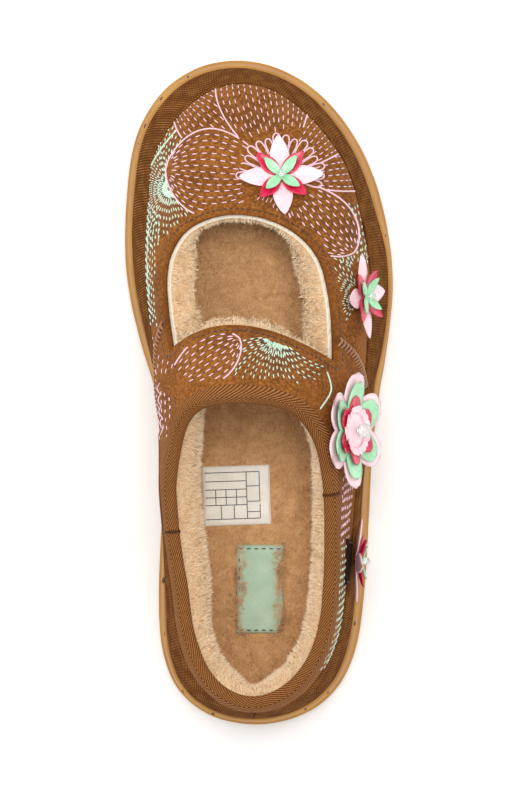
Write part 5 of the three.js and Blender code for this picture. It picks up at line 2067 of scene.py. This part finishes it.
class PetalShape(Enum):
    """The outlines that petals are cut to."""

    LEAF = "leaf"
    ROUND = "round"
    TOOTH = "tooth"


@dataclass(frozen=True)
class Sheet:
    """One die-cut sheet of a flower."""

    part: str
    finish: str
    shape: PetalShape
    count: int
    reach: float
    half: float
    notch: float
    turn: float
    lift: float


SHEETS = {
    FlowerKind.STAR: (
        Sheet("outer_petals", "pink", PetalShape.LEAF, 4, 16.4, 3.5, 4.0, 0.0, 1.6),
        Sheet("middle_petals", "crimson", PetalShape.LEAF, 4, 12.8, 2.7, 3.4, 45.0, 2.0),
        Sheet("inner_petals", "mint", PetalShape.LEAF, 4, 9.0, 1.75, 2.4, 45.0, 2.2)),
    FlowerKind.BLOSSOM: (
        Sheet("outer_petals", "pink", PetalShape.ROUND, 6, 22.0, 5.9, 8.0, 30.0, 3.0),
        Sheet("middle_petals", "mint", PetalShape.ROUND, 6, 18.6, 4.6, 7.0, 30.0, 3.2),
        Sheet("inner_petals", "crimson", PetalShape.ROUND, 6, 13.2, 3.4, 5.0, 30.0, 1.5),
        Sheet("fringe", "pink", PetalShape.TOOTH, 20, 9.4, 0.0, 7.4, 0.0, 0.7)),
}
BEAD_RADIUS = {FlowerKind.STAR: 1.6, FlowerKind.BLOSSOM: 2.9}


@dataclass(frozen=True)
class Flower:
    """A flower sewn to the upper: sheets of petals round a bead."""

    last: Last
    name: str
    kind: FlowerKind
    x: float
    at: float
    turn: float
    lean: float
    step: float
    stem: float
    thickness: float = 0.5
    pitch: float = 0.95

    def seat(self) -> Matrix:
        """The flower's place: its own Z stands off the face and its own Y points to the toe."""
        last = self.last
        place = last.locate(last.plan(self.x, self.at))
        normal = Vector(last.normal(place[None])[0])
        toe = (Vector((0, 1, 0)) - normal * normal.y).normalized()
        tip = Matrix.Rotation(math.radians(self.lean), 3, toe)
        out = tip @ toe.cross(normal)
        normal = tip @ normal
        point = Vector(last.skin(place[None])[0]) + normal * (self.step + last.clearance)
        made = Matrix((out, toe, normal)).transposed().to_4x4()
        made.translation = point
        return made

    def petal(self, sheet: Sheet) -> tuple[Array, Array, Array]:
        """One petal of a sheet, lying along +X.

        Args:
            sheet: The sheet that it belongs to.

        Returns:
            Its points, its layout and the number of its rows and columns.
        """
        rows, columns = 15, 9
        t = np.linspace(0.0, 1.0, rows)[:, None]
        s = np.linspace(-1.0, 1.0, columns)[None, :]
        root = math.sin(math.pi / sheet.count) * sheet.notch * (0.3 if sheet.shape is PetalShape.LEAF else 1.0)
        if sheet.shape is PetalShape.LEAF:
            wide = root * (1 - t) ** 2 + sheet.half * np.sin(np.pi * np.clip(t, 0, 1) ** 0.85) ** 0.8
        elif sheet.shape is PetalShape.ROUND:
            wide = root * (1 - t) ** 1.5 + sheet.half * np.sin(np.pi / 2 * np.clip(t / 0.66, 0, 1)) * np.sqrt(
                np.clip(1.0 - (np.clip(t - 0.66, 0, 1) / 0.34) ** 2.6, 0, 1))
        else:
            wide = 1.32 * (0.9 + 0.25 * t) * np.sqrt(np.clip(1.0 - np.clip((t - 0.6) / 0.4, 0, 1) ** 3, 0.05, 1))
        inner = 0.72 if sheet.shape is PetalShape.TOOTH else 0.1
        x = sheet.reach * (inner + (1.0 - inner) * t) + 0 * s
        y = wide * s
        cup = {PetalShape.LEAF: 0.16, PetalShape.ROUND: 0.09, PetalShape.TOOTH: 0.0}[sheet.shape]
        z = sheet.lift * t**2 + cup * sheet.half * (s**2) * np.sin(np.pi * np.clip(t, 0.05, 1))
        z = z - 0.22 * np.exp(-((s * wide) / 0.45) ** 2) * np.sin(np.pi * t) * (sheet.half > 0)
        points = np.stack([x, y, z], axis=-1).reshape(-1, 3)
        return points, np.stack([y.ravel(), x.ravel()], axis=1), np.array([rows, columns])

    def sheet_mesh(self, sheet: Sheet, seed: int) -> tuple[Array, list[tuple[int, ...]], Array]:
        """All petals of a sheet and its hub.

        Args:
            sheet: The sheet.
            seed: Numbers the small differences between petals.

        Returns:
            Points, faces and layout.
        """
        chance = np.random.default_rng(seed)
        points, faces, lay, first = [], [], [], 0
        base, uv, (rows, columns) = self.petal(sheet)
        quads = grid_faces(rows, columns)
        for i in range(sheet.count):
            angle = 2 * math.pi * i / sheet.count + chance.normal(0, 0.02)
            petal = base.copy()
            far = (base[:, 0] / sheet.reach) ** 2
            petal[:, 2] += far * (chance.normal(0, 0.35) + 0.08 * i / sheet.count)
            petal[:, 2] += chance.normal(0, 0.06) * base[:, 1] * far + 0.02 * i
            top = petal @ turned(angle)
            under = top - np.array([0.0, 0.0, self.thickness])
            count = len(top)
            points += [top, under]
            lay += [uv, uv]
            faces += [tuple(f + first) for f in quads]
            faces += [tuple(f[::-1] + first + count) for f in quads]
            faces += rim_walls(rows, columns, first)
            first += 2 * count
        hub = sheet.notch * (0.95 if sheet.shape is PetalShape.TOOTH else 0.8)
        corners = 24
        angles = np.linspace(0, 2 * math.pi, corners, endpoint=False)
        for radius, z in (
                (0.01, 0.08), (hub * 0.7, 0.08), (hub, 0.0), (hub, -self.thickness), (0.01, -self.thickness)):
            lay.append(polar(radius, angles))
            points.append(np.c_[lay[-1], np.full(corners, z)])
        faces += [tuple(f + first) for f in grid_faces(5, corners, closed=True)]
        return np.vstack(points), faces, np.vstack(lay)

    def build(self, finishes: dict[str, Material]) -> None:
        """Makes the flower's sheets and its bead."""
        seat = np.array(self.seat())
        for i, sheet in enumerate(SHEETS[self.kind]):
            points, faces, lay = self.sheet_mesh(sheet, seed=len(self.name) * 10 + i)
            local = points @ turned(math.radians(self.turn + sheet.turn))
            local[:, 2] += self.stem + self.thickness + i * self.pitch
            world = local @ seat[:3, :3].T + seat[:3, 3]
            part = f"{self.name}_{sheet.part}"
            piece = mesh_object(f"{part}_leather", world, faces, uv=lay)
            settle(piece, sheet.finish, finishes[sheet.finish], part)
        radius = BEAD_RADIUS[self.kind]
        points, faces = ball(radius)
        lift = self.stem + self.thickness + (len(SHEETS[self.kind]) - 1) * self.pitch + self.last.clearance + radius
        world = (points + np.array([0, 0, lift])) @ seat[:3, :3].T + seat[:3, 3]
        piece = mesh_object(f"{self.name}_crystal", world, faces, smooth=False)
        settle(piece, "bead", finishes["bead"], f"{self.name}_bead")


@dataclass(frozen=True)
class Studio:
    """The floor, the soft light and the camera."""

    distance: float = 1.3
    lean: float = 1.5
    lens: float = 148.72
    shift: tuple[float, float] = (3.0 / 786.0, 0.3 / 786.0)
    ambient: float = 1.0

    def build(self) -> None:
        """Makes the studio."""
        scene = bpy.context.scene
        camera = bpy.data.cameras.new("camera")
        camera.sensor_width = 36.0
        camera.lens = self.lens
        camera.shift_x, camera.shift_y = self.shift
        holder = bpy.data.objects.new("camera", camera)
        lean = math.radians(self.lean)
        holder.location = (self.distance * math.sin(lean), 0.0, self.distance * math.cos(lean))
        holder.rotation_euler = (0.0, lean, 0.0)
        scene.collection.objects.link(holder)
        scene.camera = holder
        scene.view_settings.view_transform = "Standard"
        world = bpy.data.worlds.new("studio")
        world.use_nodes = True
        world.node_tree.nodes["Background"].inputs[0].default_value = (1.0, 1.0, 1.0, 1.0)
        world.node_tree.nodes["Background"].inputs[1].default_value = self.ambient
        scene.world = world
        for name, place, size, power in (
                ("key", (0.12, 0.25, 1.25), 0.5, 7.0), ("fill", (-0.6, 0.4, 1.0), 0.8, 3.0)):
            light = bpy.data.lights.new(name, "AREA")
            light.energy = power
            light.size = size
            lamp = bpy.data.objects.new(name, light)
            lamp.location = place
            lamp.rotation_euler = (-Vector(place)).to_track_quat("-Z", "Y").to_euler()
            scene.collection.objects.link(lamp)
        reach = 2500.0
        floor = mesh_object("floor", np.array([[-reach, -reach, 0], [reach, -reach, 0], [reach, reach, 0],
                                               [-reach, reach, 0]]), [(0, 1, 2, 3)])
        floor.data.materials.append(Paper().material())


def flowers(last: Last) -> list[Flower]:
    """The four flowers, from the toe to the heel."""
    panel = last.panel_step
    tab = panel + 2 * last.clearance + 1.0
    return [
        Flower(last, "toe_flower", FlowerKind.STAR, 0.229, 0.846, 3.0, 0.0, 0.0, 0.8),
        Flower(last, "side_flower", FlowerKind.STAR, 0.906, 0.657, 8.0, 1.0, 0.0, 1.4),
        Flower(last, "strap_flower", FlowerKind.BLOSSOM, 0.743, 0.445, 0.0, -9.0, panel, 2.7),
        Flower(last, "heel_flower", FlowerKind.STAR, 0.798, 0.237, 3.0, 9.0, tab, 1.1),
    ]


def main() -> None:
    """Builds the whole shoe on its frame."""
    logging.basicConfig(level=logging.INFO, format="%(name)s %(message)s")
    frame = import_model()
    last = Last()
    Studio().build()
    platform = Platform(last)
    platform.outsole()
    platform.flakes(Thread("crumb", (92, 58, 30), (58, 34, 16)).material())
    platform.webbing()
    core = frame["nodes"]["midsole"]
    core.data.materials.clear()
    core.data.materials.append(Foam().material())
    upper = Upper(last)
    upper.suede()
    lining, lining_faces = upper.fleece()
    CollarTape(last, upper).build()
    insole = Insole(last)
    bed, bed_faces = insole.fleece()
    insole.patch(Cloth("twill", (180, 204, 180), (148, 178, 152), 0.9).material(),
                 Thread("green thread", (44, 92, 62), (24, 60, 40)).material())
    insole.label(Cloth("satin", (242, 238, 228), (222, 214, 200), 0.5, 0.0).material(),
                 Thread("label ink", (52, 48, 48), (40, 38, 40)).material())
    pile = Pile()
    tufts = Hair("lining hair", (226, 196, 154), (252, 238, 214)).material()
    pile.grow("lining_pile", lining, lining_faces, upper.shown, 62000, upper.flow, tufts)
    short = Hair("insole hair", (218, 172, 122), (238, 202, 156)).material()
    Pile(length=1.5, lean=0.9, seed=9).grow(
        "insole_pile", bed, bed_faces, insole.shown, 62000, insole.flow, short)
    Pile(length=4.2, lean=0.8, seed=11).grow("patch_fringe", bed, bed_faces, insole.fringe, 2600, insole.creep, short)
    sewing = Sewing(last)
    embroidery = Embroidery(sewing)
    embroidery.pink(Thread("pink thread", (242, 212, 222), (214, 166, 184)).material())
    embroidery.mint(Thread("mint thread", (214, 236, 214), (160, 202, 170)).material())
    embroidery.shadow_lines(Thread("stitch shadow", (74, 38, 18), (52, 26, 12)).material())
    topstitching = Topstitching(sewing, upper)
    topstitching.throat(Thread("dark thread", (58, 28, 12), (36, 16, 6)).material())
    topstitching.whip(Thread("brown thread", (168, 110, 60), (104, 60, 26)).material())
    HeelTab(last).build(DarkLeather().material(), Thread("tab thread", (92, 54, 30), (60, 32, 18)).material())
    finishes = {
        "pink": Petal("pink petal", (250, 214, 218), (238, 190, 200)).material(),
        "crimson": Petal("crimson petal", (214, 20, 72), (176, 10, 50), 0.26).material(),
        "mint": Petal("mint petal", (166, 222, 178), (132, 196, 148)).material(),
        "bead": Crystal().material(),
    }
    for flower in flowers(last):
        flower.build(finishes)


if __name__ == "__main__":
    main()
